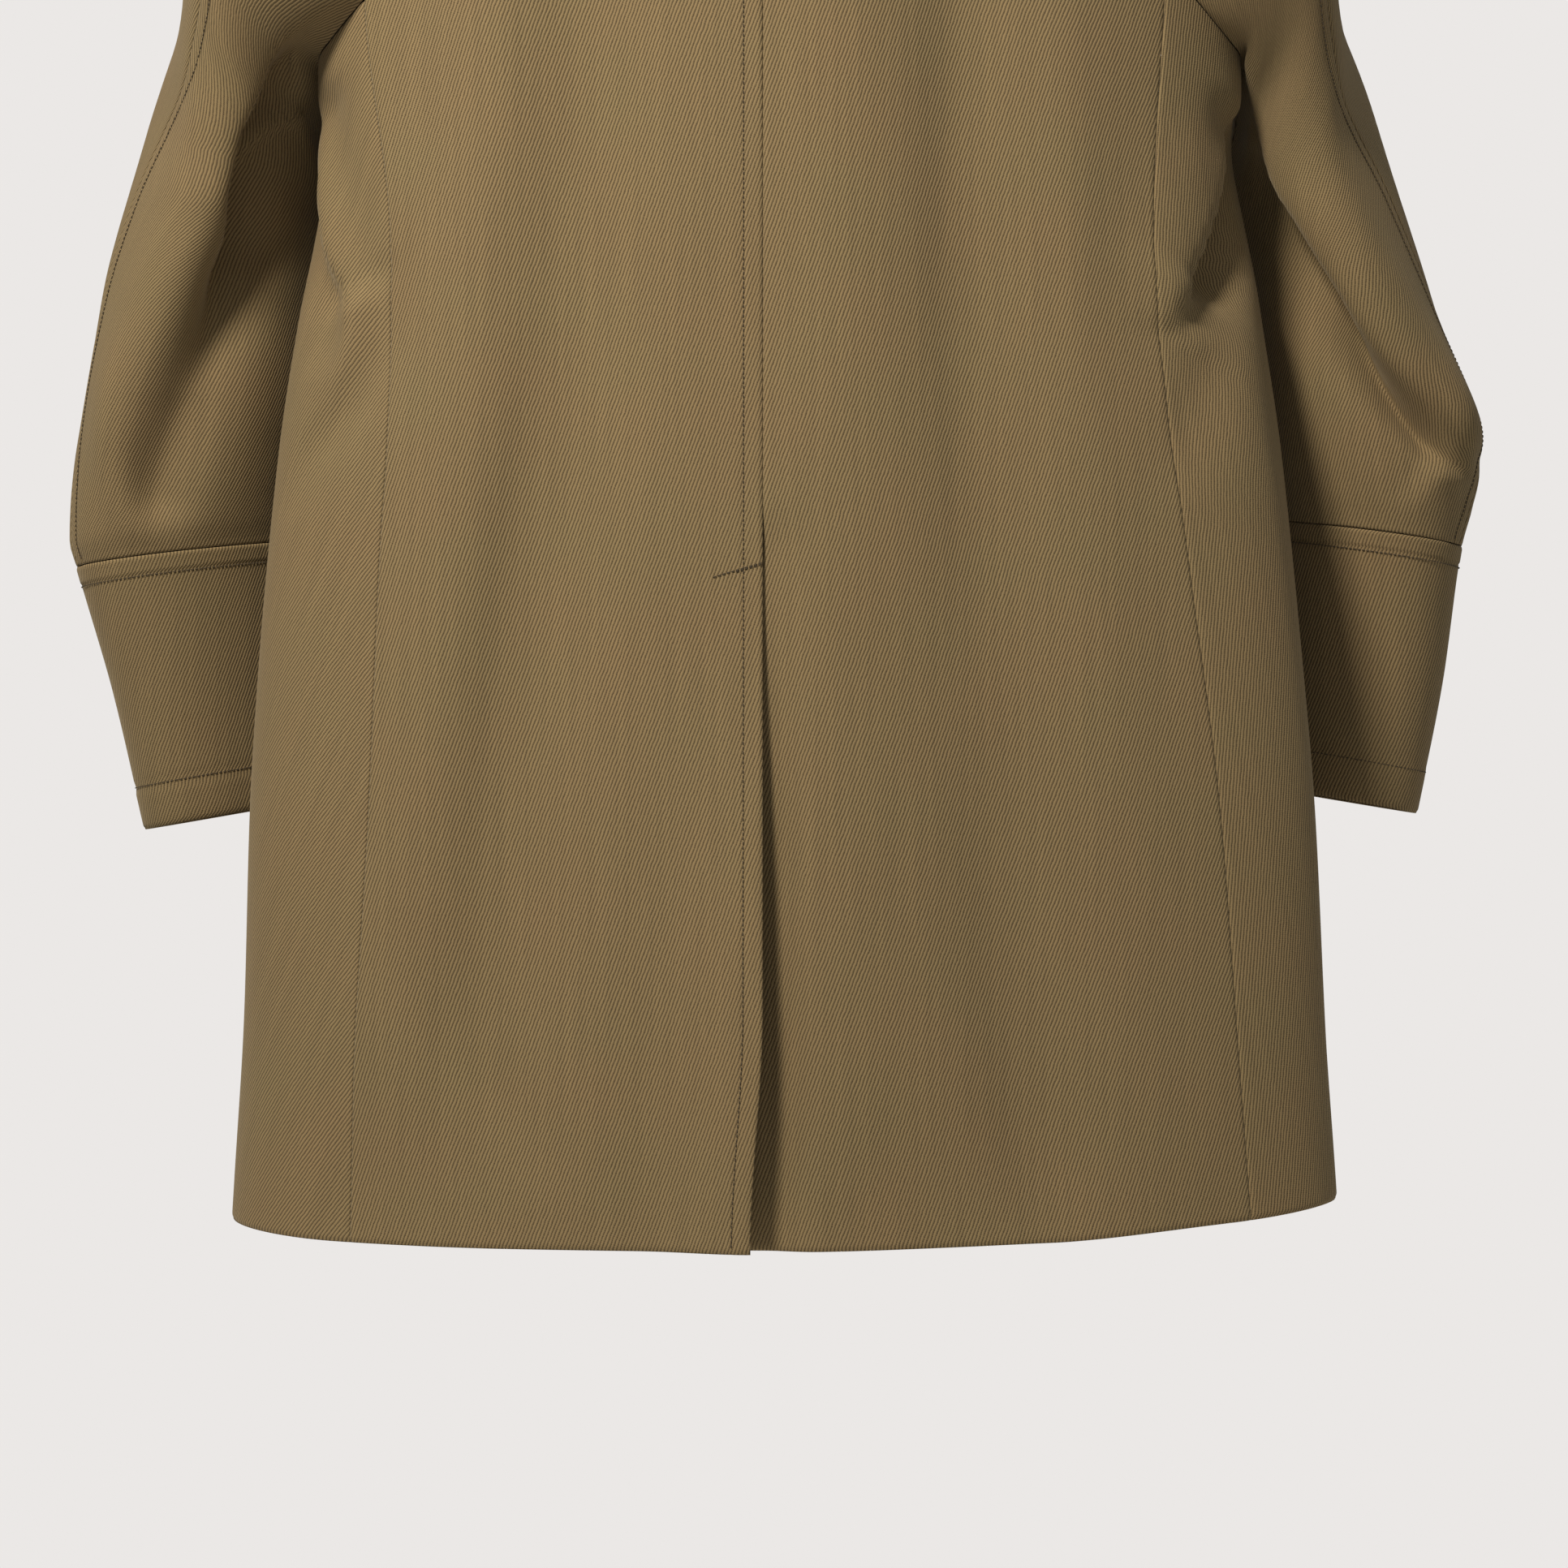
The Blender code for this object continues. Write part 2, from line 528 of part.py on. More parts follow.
def collar_surface(along, over):
    """Surface of the collar: over 0 to 1 is the stand, 1 to 2 the rounded crease, 2 to 3 the fall."""
    along, over = np.broadcast_arrays(along, over)
    reach, sign = np.abs(along), np.where(along < 0, -1.0, 1.0)
    foot = neckline(reach)
    edge = points(*(smooth(COLLAR, column, reach) for column in ("edge_x", "edge_y", "edge_z")))
    earlier = neckline(np.abs(reach - 0.05)) * points(np.where(reach < 0.05, -1.0, 1.0), 1.0, 1.0)
    run = unit((neckline(reach + 0.05) - earlier) * points(1.0, 1.0, ease((reach - 0.5) / 0.4)))
    outward = unit((edge - foot) * np.array([1.0, 1.0, 0.0]))
    outward = unit(outward - (outward * run).sum(-1, keepdims=True) * run)
    rise = np.cross(outward, run)
    rise = rise * np.where(rise @ np.array([0.0, 0.3, 1.0]) < 0, -1.0, 1.0)[..., None]
    stand = smooth(COLLAR, "stand", reach)[..., None]
    crease = foot + rise * stand - outward * smooth(COLLAR, "lean", reach)[..., None]
    upright = mix(foot, crease, np.clip(over, -0.2, 1.0)[..., None])
    angle = np.pi * np.clip(over - 1.0, 0.0, 1.0)[..., None]
    crown = outward * COLLAR_ROLL * (1.0 - np.cos(angle)) + rise * COLLAR_ROLL * np.sin(angle)
    fall_share = np.clip(over - 2.0, 0.0, None)[..., None]
    fall_start = crease + outward * 2.0 * COLLAR_ROLL
    belly = 0.008 * np.sin(np.pi * np.clip(fall_share, 0.0, 1.0))
    fall = (edge - fall_start) * fall_share + outward * belly
    return (upright + crown + fall) * points(sign, 1.0, 1.0)


def wall(name, surface, u, v, centre, mask=None, closed=False, thick=CLOTH):
    """Cloth of even thickness: the outer grid, a copy moved in along the exact normals, and the rim.

    The exact normals are shared by two panels at their seam, so their walls stay a seam gap apart."""
    grid_u, grid_v = np.meshgrid(u, v, indexing="ij")
    outer = surface(grid_u, grid_v)
    normal = surface_normal(surface, grid_u, grid_v)
    if (normal * (outer - centre(outer))).sum() < 0:
        normal = -normal
    inner = outer - thick * normal
    rows, columns = grid_u.shape
    number = np.arange(rows * columns).reshape(rows, columns)
    right = np.roll(number, -1, axis=1) if closed else number[:, 1:]
    left = number if closed else number[:, :-1]
    quads = np.stack([left[:-1], left[1:], right[1:], right[:-1]], axis=-1)
    quads = quads[mask] if mask is not None else quads.reshape(-1, 4)
    flat = outer.reshape(-1, 3)
    facing = np.cross(flat[quads[:, 2]] - flat[quads[:, 0]], flat[quads[:, 3]] - flat[quads[:, 1]])
    if (facing * normal.reshape(-1, 3)[quads[:, 0]]).sum() < 0:
        quads = quads[:, ::-1].copy()
    one, two = flat[quads[:, 2]] - flat[quads[:, 0]], flat[quads[:, 3]] - flat[quads[:, 1]]
    longer = np.linalg.norm(one, axis=1) > np.linalg.norm(two, axis=1)
    quads[longer] = np.roll(quads[longer], 1, axis=1)
    halves = np.concatenate([quads[:, [0, 1, 2]], quads[:, [0, 2, 3]]])
    count = rows * columns
    edges = {pair for face in halves.tolist() for pair in zip(face, face[1:] + face[:1])}
    rim = [(b, a, a + count, b + count) for a, b in edges if (b, a) not in edges]
    faces = halves.tolist() + (halves[:, ::-1] + count).tolist() + sorted(rim)
    vertices = np.concatenate([flat, inner.reshape(-1, 3)])
    used = sorted({index for face in faces for index in face})
    place = {old: new for new, old in enumerate(used)}
    mesh = bpy.data.meshes.new(name)
    mesh.from_pydata([tuple(vertices[i]) for i in used], [], [[place[i] for i in face] for face in faces])
    mesh.shade_smooth()
    mesh.set_sharp_from_angle(angle=np.radians(50.0))
    return bpy.data.objects.new(name, mesh)


def axis_centre(outer):
    """Middle of the body at each point's height."""
    return outer * np.array([0.0, 0.0, 1.0])


def sleeve_centre(side):
    """Middle of the sleeve nearest to each point."""
    stations = np.linspace(0.0, CUFF_END, 60)
    middle = 0.25 * sum(sleeve_base(side, stations, place) for place in (0.0, 0.5, 1.0, 1.5))

    def centre(outer):
        distance = np.linalg.norm(outer[..., None, :] - middle, axis=-1)
        return middle[np.argmin(distance, axis=-1)]

    return centre


def collar_centre(outer):
    """Points far below, which the collar's crease looks away from."""
    return outer - np.array([0.0, 0.0, 0.4])


def inset(low, high, count, gap=SEAM_GAP, width=0.23):
    """Even steps from low to high, drawn in by half a seam gap at both ends."""
    share = 0.5 * gap / width
    return np.linspace(low + share, high - share, count)


def button(name, x, z):
    """A sewn-on button: a turned disc with a raised rim, set on the left front."""
    turn = turn_at(-x, z, "front")
    turn = turn + 2.0 * np.pi if turn < 0 else turn
    out = front_layer(LEFT, -x, 1.0)
    foot = body(LEFT, turn, z, out + 0.0006)
    ahead = unit(body(LEFT, turn, z, out + 0.01) - body(LEFT, turn, z, out))
    profile = (
        (0.0, BUTTON_THICK * 0.70),
        (BUTTON_RADIUS * 0.66, BUTTON_THICK * 0.72),
        (BUTTON_RADIUS * 0.76, BUTTON_THICK),
        (BUTTON_RADIUS * 0.90, BUTTON_THICK),
        (BUTTON_RADIUS, BUTTON_THICK * 0.62),
        (BUTTON_RADIUS * 0.97, BUTTON_THICK * 0.25),
        (BUTTON_RADIUS * 0.80, 0.0),
        (0.0, 0.0),
    )
    mesh = bpy.data.meshes.new(name)
    mesh.from_pydata([(r, 0.0, h) for r, h in profile], [(i, i + 1) for i in range(len(profile) - 1)], [])
    part = bpy.data.objects.new(name, mesh)
    screw = part.modifiers.new("Turned", "SCREW")
    screw.steps = 20
    screw.render_steps = 20
    screw.use_merge_vertices = True
    screw.merge_threshold = 0.0001
    screw.use_smooth_shade = True
    facing = Vector(ahead).to_track_quat("Z", "Y").to_matrix().to_4x4()
    part.matrix_world = Matrix.Translation(Vector(foot)) @ facing
    return part


def material(name, colour, roughness):
    """Plain shaded material."""
    made = bpy.data.materials.new(name)
    made.use_nodes = True
    shader = made.node_tree.nodes["Principled BSDF"]
    shader.inputs["Base Color"].default_value = (*colour, 1.0)
    shader.inputs["Roughness"].default_value = roughness
    return made


def sleeve_stations(side):
    """Stations of the upper sleeve, with one where the side-back seam runs into the raglan seam."""
    fine = np.linspace(0.0, 1.0, 801)
    seam_station = np.interp(np.degrees(seam_top(side)[0]), smooth(SHOULDER, "back_turn", fine), fine)
    upper = np.linspace(0.0, 1.0, UPPER_STATIONS)
    upper[np.argmin(np.abs(upper - seam_station))] = seam_station
    return upper, seam_station


def back_steps(side):
    """Steps across a back: under the collar, then one for each station of the sleeve up to the seam."""
    fine = np.linspace(0.0, 1.0, 1201)
    top = np.full(fine.shape, -0.15)
    for _ in range(8):
        top = raglan_z(turn_at(back_x(side, fine, top), top, "back"))
    turns = np.degrees(turn_at(back_x(side, fine, top), top, "back"))
    upper, seam_station = sleeve_stations(side)
    wanted = smooth(SHOULDER, "back_turn", upper[upper < seam_station - 0.001])
    inner = np.interp(wanted, turns, fine)
    edge = 0.5 * SEAM_GAP / 0.23
    return np.concatenate([np.linspace(edge, inner[0], 5)[:-1], inner, [1.0 - edge]])


def front_steps(side):
    """Steps round a front: one for each sleeve station from seam to neck, then along the roll line."""
    upper, seam_station = sleeve_stations(side)
    rising = smooth(SHOULDER, "back_turn", upper[upper > seam_station + 0.001])
    falling = smooth(SHOULDER, "front_turn", upper[-2::-1])
    first, corner = np.degrees(seam_top(side)[0]), RAGLAN[-1].turn
    inner = RAGLAN_SHARE * (np.concatenate([rising, falling]) - first) / (corner - first)
    edge = 0.5 * SEAM_GAP / 0.5
    return np.concatenate([[edge], inner, np.linspace(inner[-1], 1.0, 8)[1:]])


def main():
    for old in list(bpy.data.objects):
        bpy.data.objects.remove(old, do_unlink=True)
    coat = bpy.data.collections.new("Polo coat")
    bpy.context.scene.collection.children.link(coat)
    parts = []
    vent = (VENT_TOP_Z + 0.930) / 0.906
    up = np.concatenate([np.linspace(0.0, vent, 8)[:-1], np.linspace(vent, 1.0, 13)])

    for side in (LEFT, RIGHT):
        word = side_name(side)
        across = back_steps(side)
        mask = None
        if side == RIGHT:
            share = VENT_UNDERLAP / (SIDE_BACK_SEAM[0].right - CENTRE_BACK_X)
            across = np.concatenate([np.linspace(-share, across[0], 4)[:-1], across])
            mask = np.ones((len(across) - 1, len(up) - 1), bool)
            mask[:3, 7:] = False
        parts.append(wall("back_" + word, back_panel(side), across, up, axis_centre, mask))
        parts.append(wall("front_" + word, front_panel(side), front_steps(side), up, axis_centre))
        shares, over = np.linspace(0.0, 0.86, 12), np.linspace(0.0, 1.0, 6)
        parts.append(wall("lapel_" + word, lapel_panel(side), shares, over, axis_centre))
        upper, seam_station = sleeve_stations(side)
        stations = np.concatenate([upper[:-1], np.linspace(1.0, CUFF_STATION, 19)])
        centre = sleeve_centre(side)
        for half, low in (("_back", 0.0), ("_front", 1.0)):
            places = inset(low, low + 1.0, 13, 0.0010)
            parts.append(wall("sleeve_" + word + half, sleeve(side), stations, places, centre))
        cuff_stations = np.linspace(CUFF_STATION + 0.0012, CUFF_END, 6)
        ring = np.linspace(0.0, 2.0, 25)[:-1]
        parts.append(wall("cuff_" + word, sleeve(side), cuff_stations, ring, centre, closed=True))

    stand, crease, fall = np.linspace(0.0, 1.0, 3), np.linspace(1.0, 2.0, 6), np.linspace(2.0, 3.0, 5)
    over = np.concatenate([stand[:-1], crease[:-1], fall])
    parts.append(wall("collar", collar_surface, np.linspace(-1.0, 1.0, 41), over, collar_centre))

    wool = material("Olive khaki wool twill", (0.19, 0.135, 0.07), 0.9)
    for part in parts:
        part.data.materials.append(wool)
    horn = material("Dark brown horn", (0.05, 0.03, 0.02), 0.4)
    number = 0
    for z in BUTTON_ROWS_Z:
        for x in (-BUTTON_COLUMN_X, BUTTON_COLUMN_X):
            number += 1
            made = button("button_" + str(number), x, z)
            made.data.materials.append(horn)
            parts.append(made)
    for part in parts:
        coat.objects.link(part)


main()
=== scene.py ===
"""Looks of a hung polo coat: twill shells on the solids' forms, sewing, buttons, floor, light and camera."""

from collections import namedtuple

import bpy
import numpy as np
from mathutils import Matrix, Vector


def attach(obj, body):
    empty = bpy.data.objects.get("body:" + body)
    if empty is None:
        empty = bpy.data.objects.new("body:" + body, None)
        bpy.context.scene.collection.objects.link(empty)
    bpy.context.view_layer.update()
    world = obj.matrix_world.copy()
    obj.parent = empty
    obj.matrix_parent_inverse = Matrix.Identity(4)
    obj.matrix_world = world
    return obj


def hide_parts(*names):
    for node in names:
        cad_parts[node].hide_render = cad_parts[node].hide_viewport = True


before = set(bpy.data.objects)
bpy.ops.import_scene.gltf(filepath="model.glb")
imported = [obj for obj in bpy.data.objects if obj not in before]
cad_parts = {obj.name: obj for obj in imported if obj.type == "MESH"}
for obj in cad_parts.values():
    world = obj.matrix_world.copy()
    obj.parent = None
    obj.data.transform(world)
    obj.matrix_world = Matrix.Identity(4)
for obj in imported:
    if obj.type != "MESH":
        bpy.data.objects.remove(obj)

bl_info = {
    "name": "Polo coat looks",
    "version": (1, 0, 0),
    "blender": (4, 5, 0),
    "location": "3D View > Sidebar > Coat",
    "description": "Builds the cloth, sewing, buttons and stage of a hung polo coat",
    "category": "Object",
}

# Sizes of the solids, in metres
SQUARENESS = 2.5
LAYER = 0.0031              # one cloth and its clear space
CENTRE_BACK_X = -0.0092
VENT_TOP_Z = -0.554
VENT_UNDERLAP = 0.045
VENT_LIFT = 0.010
OVERLAP = 0.080
BREAK_Z = -0.330
NECK_CORNER = (0.0773, -0.035)
RAGLAN_SHARE = 0.55
BUTTON_RADIUS = 0.015
BUTTON_THICK = 0.0045
BUTTON_COLUMN_X = 0.055
BUTTON_ROWS_Z = (-0.385, -0.505, -0.625)
CUFF_STATION, CUFF_END = 1.74, 2.10
COLLAR_ROLL, COLLAR_END = 0.005, 0.875
STITCH_LIFT = 0.0004        # middle of a stitch above the cloth
CENTRE_STITCH = 0.0106      # each stitch line's distance from its seam or hem
OVER_ARM_STITCH = 0.0085
CUFF_STITCH = 0.0115
CUFF_HEM_STITCH = 0.0250
MIDDLING_WIDTH, MIDDLING_DEPTH = 0.285, 0.103   # half sizes of a middling body section
CAMERA_X, CAMERA_Z, CAMERA_DISTANCE = 0.0023, -0.6753, 2.6
FRAME_WIDTH = 0.8907        # what the picture spans at the coat
FRONT_TURN = 1.9            # turn from the centre back to just past the side
HEM_Z, BODY_LENGTH = -0.930, 0.906
HANG_TOP, HANG_END = 0.88, 1.22     # stations between which a sleeve hangs straight
TACK_RUN, TACK_DROP = 0.0290, 0.0090
LEFT, RIGHT = -1, 1

# Body sections, hem to neck
Section = namedtuple("Section", "z half_width back front")
BODY = (
    Section(-0.940, 0.3115, 0.112, 0.108),
    Section(-0.903, 0.3093, 0.111, 0.107),
    Section(-0.806, 0.3035, 0.109, 0.106),
    Section(-0.691, 0.3003, 0.106, 0.104),
    Section(-0.599, 0.2946, 0.103, 0.102),
    Section(-0.484, 0.2835, 0.100, 0.102),
    Section(-0.391, 0.2700, 0.098, 0.104),
    Section(-0.322, 0.2630, 0.098, 0.106),
    Section(-0.250, 0.2610, 0.099, 0.107),
    Section(-0.180, 0.2520, 0.100, 0.106),
    Section(-0.100, 0.2380, 0.094, 0.100),
    Section(-0.040, 0.2150, 0.082, 0.091),
    Section(0.010, 0.1900, 0.070, 0.084),
)

# Where the side-back seam runs, on each side
SeamPoint = namedtuple("SeamPoint", "z left right")
SIDE_BACK_SEAM = (
    SeamPoint(-0.940, 0.2370, 0.2600),
    SeamPoint(-0.825, 0.2331, 0.2511),
    SeamPoint(-0.690, 0.2255, 0.2410),
    SeamPoint(-0.556, 0.2206, 0.2243),
    SeamPoint(-0.467, 0.2160, 0.2131),
    SeamPoint(-0.378, 0.2160, 0.2060),
    SeamPoint(-0.243, 0.2309, 0.2131),
    SeamPoint(-0.150, 0.2330, 0.2180),
)

# Hem height round the body, by the turn from the centre back
HemPoint = namedtuple("HemPoint", "turn left right")
HEM = (
    HemPoint(-30, -0.930, -0.930),
    HemPoint(0, -0.930, -0.930),
    HemPoint(55, -0.929, -0.926),
    HemPoint(72, -0.927, -0.917),
    HemPoint(90, -0.920, -0.905),
    HemPoint(110, -0.922, -0.914),
    HemPoint(140, -0.925, -0.923),
    HemPoint(240, -0.926, -0.926),
)

# Raglan seam, by the turn from the centre back: neck, armpit, neck
RaglanPoint = namedtuple("RaglanPoint", "turn z")
RAGLAN = (
    RaglanPoint(0.0, -0.024),
    RaglanPoint(20.0, -0.021),
    RaglanPoint(38.5, -0.014),
    RaglanPoint(49.0, -0.060),
    RaglanPoint(60.6, -0.130),
    RaglanPoint(70.0, -0.200),
    RaglanPoint(76.0, -0.240),
    RaglanPoint(83.0, -0.262),
    RaglanPoint(90.0, -0.268),
    RaglanPoint(97.0, -0.262),
    RaglanPoint(104.0, -0.240),
    RaglanPoint(111.3, -0.200),
    RaglanPoint(120.7, -0.135),
    RaglanPoint(133.2, -0.075),
    RaglanPoint(138.5, -0.035),
)

# The largest folds, straight lines by girth from the centre back, left minus, and height
BodyFold = namedtuple("BodyFold", "girth_a z_a girth_b z_b half_width rise")
BODY_FOLDS = (
    BodyFold(-0.160, -0.16, -0.205, -0.86, 0.034, 0.0050),
    BodyFold(-0.112, -0.16, -0.150, -0.86, 0.036, -0.0050),
    BodyFold(0.035, -0.16, 0.030, -0.90, 0.040, 0.0045),
    BodyFold(0.103, -0.16, 0.138, -0.92, 0.038, -0.0070),
    BodyFold(-0.300, -0.290, -0.256, -0.405, 0.024, -0.0090),
    BodyFold(0.298, -0.300, 0.250, -0.400, 0.024, -0.0100),
    BodyFold(-0.430, -0.40, -0.440, -0.93, 0.036, 0.0060),
    BodyFold(0.430, -0.40, 0.440, -0.93, 0.036, 0.0060),
    BodyFold(-0.490, -0.42, -0.500, -0.93, 0.034, -0.0050),
    BodyFold(0.490, -0.42, 0.500, -0.93, 0.034, -0.0050),
)

# A crease runs down the cloth: how far down, how far across, how high it stands and how soft each side is
Crease = namedtuple("Crease", "at across rise left right")
BODY_CREASES = (
    # right drag fold from the armpit, an edge that stands proud of the hollow beside it
    (
        Crease(0.268, 0.318, 0.000, 0.040, 0.006),
        Crease(0.300, 0.302, 0.002, 0.040, 0.006),
        Crease(0.336, 0.284, 0.009, 0.038, 0.005),
        Crease(0.383, 0.254, 0.010, 0.034, 0.005),
        Crease(0.412, 0.234, 0.004, 0.024, 0.005),
        Crease(0.425, 0.226, 0.000, 0.020, 0.005),
    ),
    # the hollow on the right of that edge
    (
        Crease(0.235, 0.345, 0.000, 0.016, 0.040),
        Crease(0.285, 0.325, -0.003, 0.014, 0.040),
        Crease(0.330, 0.303, -0.012, 0.012, 0.036),
        Crease(0.383, 0.271, -0.014, 0.011, 0.032),
        Crease(0.415, 0.247, -0.005, 0.011, 0.024),
        Crease(0.432, 0.236, 0.000, 0.012, 0.020),
    ),
    # soft trough below the right drag fold
    (
        Crease(0.395, 0.285, 0.000, 0.018, 0.020),
        Crease(0.425, 0.264, -0.004, 0.018, 0.020),
        Crease(0.475, 0.236, -0.003, 0.018, 0.020),
        Crease(0.520, 0.222, 0.000, 0.018, 0.020),
    ),
    # flat run of the right side panel before it turns the edge
    (
        Crease(0.400, 0.262, 0.000, 0.050, 0.024),
        Crease(0.520, 0.274, 0.010, 0.056, 0.022),
        Crease(0.780, 0.288, 0.011, 0.056, 0.022),
        Crease(0.950, 0.294, 0.010, 0.056, 0.022),
    ),
    # left drag fold, an edge that stands proud of the hollow on its left
    (
        Crease(0.285, -0.318, 0.000, 0.006, 0.030),
        Crease(0.322, -0.306, 0.006, 0.008, 0.030),
        Crease(0.372, -0.284, 0.008, 0.009, 0.028),
        Crease(0.425, -0.251, 0.006, 0.010, 0.022),
        Crease(0.470, -0.258, 0.002, 0.010, 0.022),
        Crease(0.490, -0.262, 0.000, 0.010, 0.022),
    ),
    # that hollow
    (
        Crease(0.270, -0.336, 0.000, 0.030, 0.012),
        Crease(0.322, -0.325, -0.005, 0.030, 0.014),
        Crease(0.372, -0.304, -0.006, 0.030, 0.015),
        Crease(0.425, -0.273, -0.004, 0.026, 0.015),
        Crease(0.450, -0.272, 0.000, 0.020, 0.012),
    ),
    # trough that closes the left drag fold
    (
        Crease(0.380, -0.236, 0.000, 0.014, 0.020),
        Crease(0.425, -0.238, -0.006, 0.012, 0.020),
        Crease(0.465, -0.252, -0.007, 0.014, 0.020),
        Crease(0.500, -0.272, -0.003, 0.018, 0.020),
        Crease(0.530, -0.285, 0.000, 0.018, 0.020),
    ),
    # soft upright folds of the back
    (
        Crease(0.080, -0.232, 0.000, 0.012, 0.018),
        Crease(0.200, -0.226, -0.0022, 0.012, 0.018),
        Crease(0.330, -0.218, 0.000, 0.012, 0.018),
    ),
    (
        Crease(0.420, -0.142, 0.000, 0.014, 0.028),
        Crease(0.560, -0.150, -0.0030, 0.014, 0.028),
        Crease(0.720, -0.158, -0.0024, 0.014, 0.028),
        Crease(0.820, -0.150, 0.000, 0.014, 0.028),
    ),
    (
        Crease(0.740, -0.190, 0.000, 0.016, 0.022),
        Crease(0.815, -0.168, -0.0030, 0.014, 0.022),
        Crease(0.868, -0.134, -0.0020, 0.014, 0.022),
        Crease(0.905, -0.118, 0.000, 0.014, 0.022),
    ),
    (
        Crease(0.120, 0.105, 0.000, 0.016, 0.030),
        Crease(0.330, 0.098, -0.0026, 0.014, 0.030),
        Crease(0.520, 0.103, -0.0020, 0.016, 0.030),
        Crease(0.640, 0.112, 0.000, 0.018, 0.030),
    ),
    (
        Crease(0.640, 0.098, 0.000, 0.016, 0.026),
        Crease(0.760, 0.110, -0.0024, 0.016, 0.026),
        Crease(0.880, 0.128, -0.0020, 0.018, 0.026),
        Crease(0.930, 0.134, 0.000, 0.018, 0.026),
    ),
    (
        Crease(0.160, 0.168, 0.000, 0.020, 0.020),
        Crease(0.300, 0.172, 0.0018, 0.020, 0.020),
        Crease(0.520, 0.176, 0.0014, 0.020, 0.020),
        Crease(0.740, 0.190, 0.000, 0.020, 0.020),
    ),
    # broad shaded hollow of the upper left back
    (
        Crease(0.100, -0.100, 0.000, 0.045, 0.030),
        Crease(0.300, -0.102, -0.0035, 0.045, 0.030),
        Crease(0.620, -0.120, -0.0030, 0.045, 0.030),
        Crease(0.900, -0.130, 0.000, 0.045, 0.030),
    ),
    # folds of the fronts
    (
        Crease(0.300, -0.360, 0.000, 0.016, 0.022),
        Crease(0.380, -0.385, -0.004, 0.014, 0.022),
        Crease(0.480, -0.410, -0.002, 0.016, 0.022),
        Crease(0.560, -0.420, 0.000, 0.016, 0.022),
    ),
    (
        Crease(0.300, 0.362, 0.000, 0.022, 0.016),
        Crease(0.390, 0.392, -0.004, 0.022, 0.014),
        Crease(0.500, 0.414, -0.002, 0.022, 0.016),
        Crease(0.600, 0.424, 0.000, 0.022, 0.016),
    ),
    (
        Crease(0.560, -0.545, 0.000, 0.026, 0.016),
        Crease(0.700, -0.550, 0.003, 0.026, 0.016),
        Crease(0.930, -0.556, 0.003, 0.026, 0.016),
    ),
    (
        Crease(0.640, 0.376, 0.000, 0.018, 0.028),
        Crease(0.780, 0.382, -0.004, 0.018, 0.028),
        Crease(0.930, 0.390, -0.003, 0.018, 0.028),
    ),
)

# Upper sleeve, neck to armpit: turns of the two raglan points and the over-arm point
Shoulder = namedtuple("Shoulder", "station back_turn front_turn x y z")
SHOULDER = (
    Shoulder(0.00, 38.5, 138.5, 0.080, 0.004, 0.006),
    Shoulder(0.25, 50.0, 131.0, 0.138, 0.003, -0.010),
    Shoulder(0.50, 62.0, 119.5, 0.202, 0.002, -0.038),
    Shoulder(0.70, 71.0, 110.5, 0.257, 0.003, -0.083),
    Shoulder(0.86, 79.0, 101.0, 0.302, 0.006, -0.145),
    Shoulder(1.00, 90.0, 90.0, 0.333, 0.012, -0.215),
)

# Lower sleeve, armpit to cuff hem: outer and inner point, and how deep the back and front bulge
Arm = namedtuple("Arm", "station xo yo zo xi yi zi back front")
ARM_LEFT = (
    Arm(1.00, 0.3330, 0.012, -0.2200, 0.2612, 0.000, -0.2680, 0.083, 0.072),
    Arm(1.08, 0.3465, 0.013, -0.2580, 0.2620, 0.031, -0.2960, 0.076, 0.068),
    Arm(1.18, 0.3612, 0.014, -0.3080, 0.2530, 0.061, -0.3350, 0.070, 0.062),
    Arm(1.38, 0.3870, 0.017, -0.3970, 0.2620, 0.072, -0.4100, 0.062, 0.052),
    Arm(1.60, 0.4050, 0.022, -0.4950, 0.2710, 0.082, -0.4900, 0.054, 0.044),
    Arm(1.70, 0.4067, 0.026, -0.5350, 0.2730, 0.087, -0.5200, 0.049, 0.041),
    Arm(1.74, 0.4030, 0.028, -0.5500, 0.2720, 0.090, -0.5330, 0.044, 0.039),
    Arm(1.90, 0.3836, 0.040, -0.6220, 0.2700, 0.099, -0.6040, 0.038, 0.036),
    Arm(2.10, 0.3670, 0.053, -0.7014, 0.2640, 0.108, -0.6830, 0.033, 0.033),
)
ARM_RIGHT = (
    Arm(1.00, 0.3095, 0.012, -0.2200, 0.2612, 0.000, -0.2680, 0.083, 0.072),
    Arm(1.08, 0.3260, 0.013, -0.2580, 0.2620, 0.031, -0.2960, 0.076, 0.068),
    Arm(1.18, 0.3408, 0.014, -0.3080, 0.2530, 0.061, -0.3350, 0.070, 0.062),
    Arm(1.38, 0.3720, 0.017, -0.4000, 0.2620, 0.072, -0.4080, 0.062, 0.052),
    Arm(1.56, 0.4019, 0.022, -0.4900, 0.2710, 0.082, -0.4820, 0.054, 0.044),
    Arm(1.68, 0.3957, 0.026, -0.5180, 0.2730, 0.087, -0.5050, 0.049, 0.041),
    Arm(1.74, 0.3903, 0.028, -0.5380, 0.2720, 0.090, -0.5210, 0.044, 0.039),
    Arm(1.90, 0.3812, 0.040, -0.6150, 0.2700, 0.099, -0.5970, 0.038, 0.036),
    Arm(2.10, 0.3679, 0.053, -0.6920, 0.2640, 0.108, -0.6740, 0.033, 0.033),
)

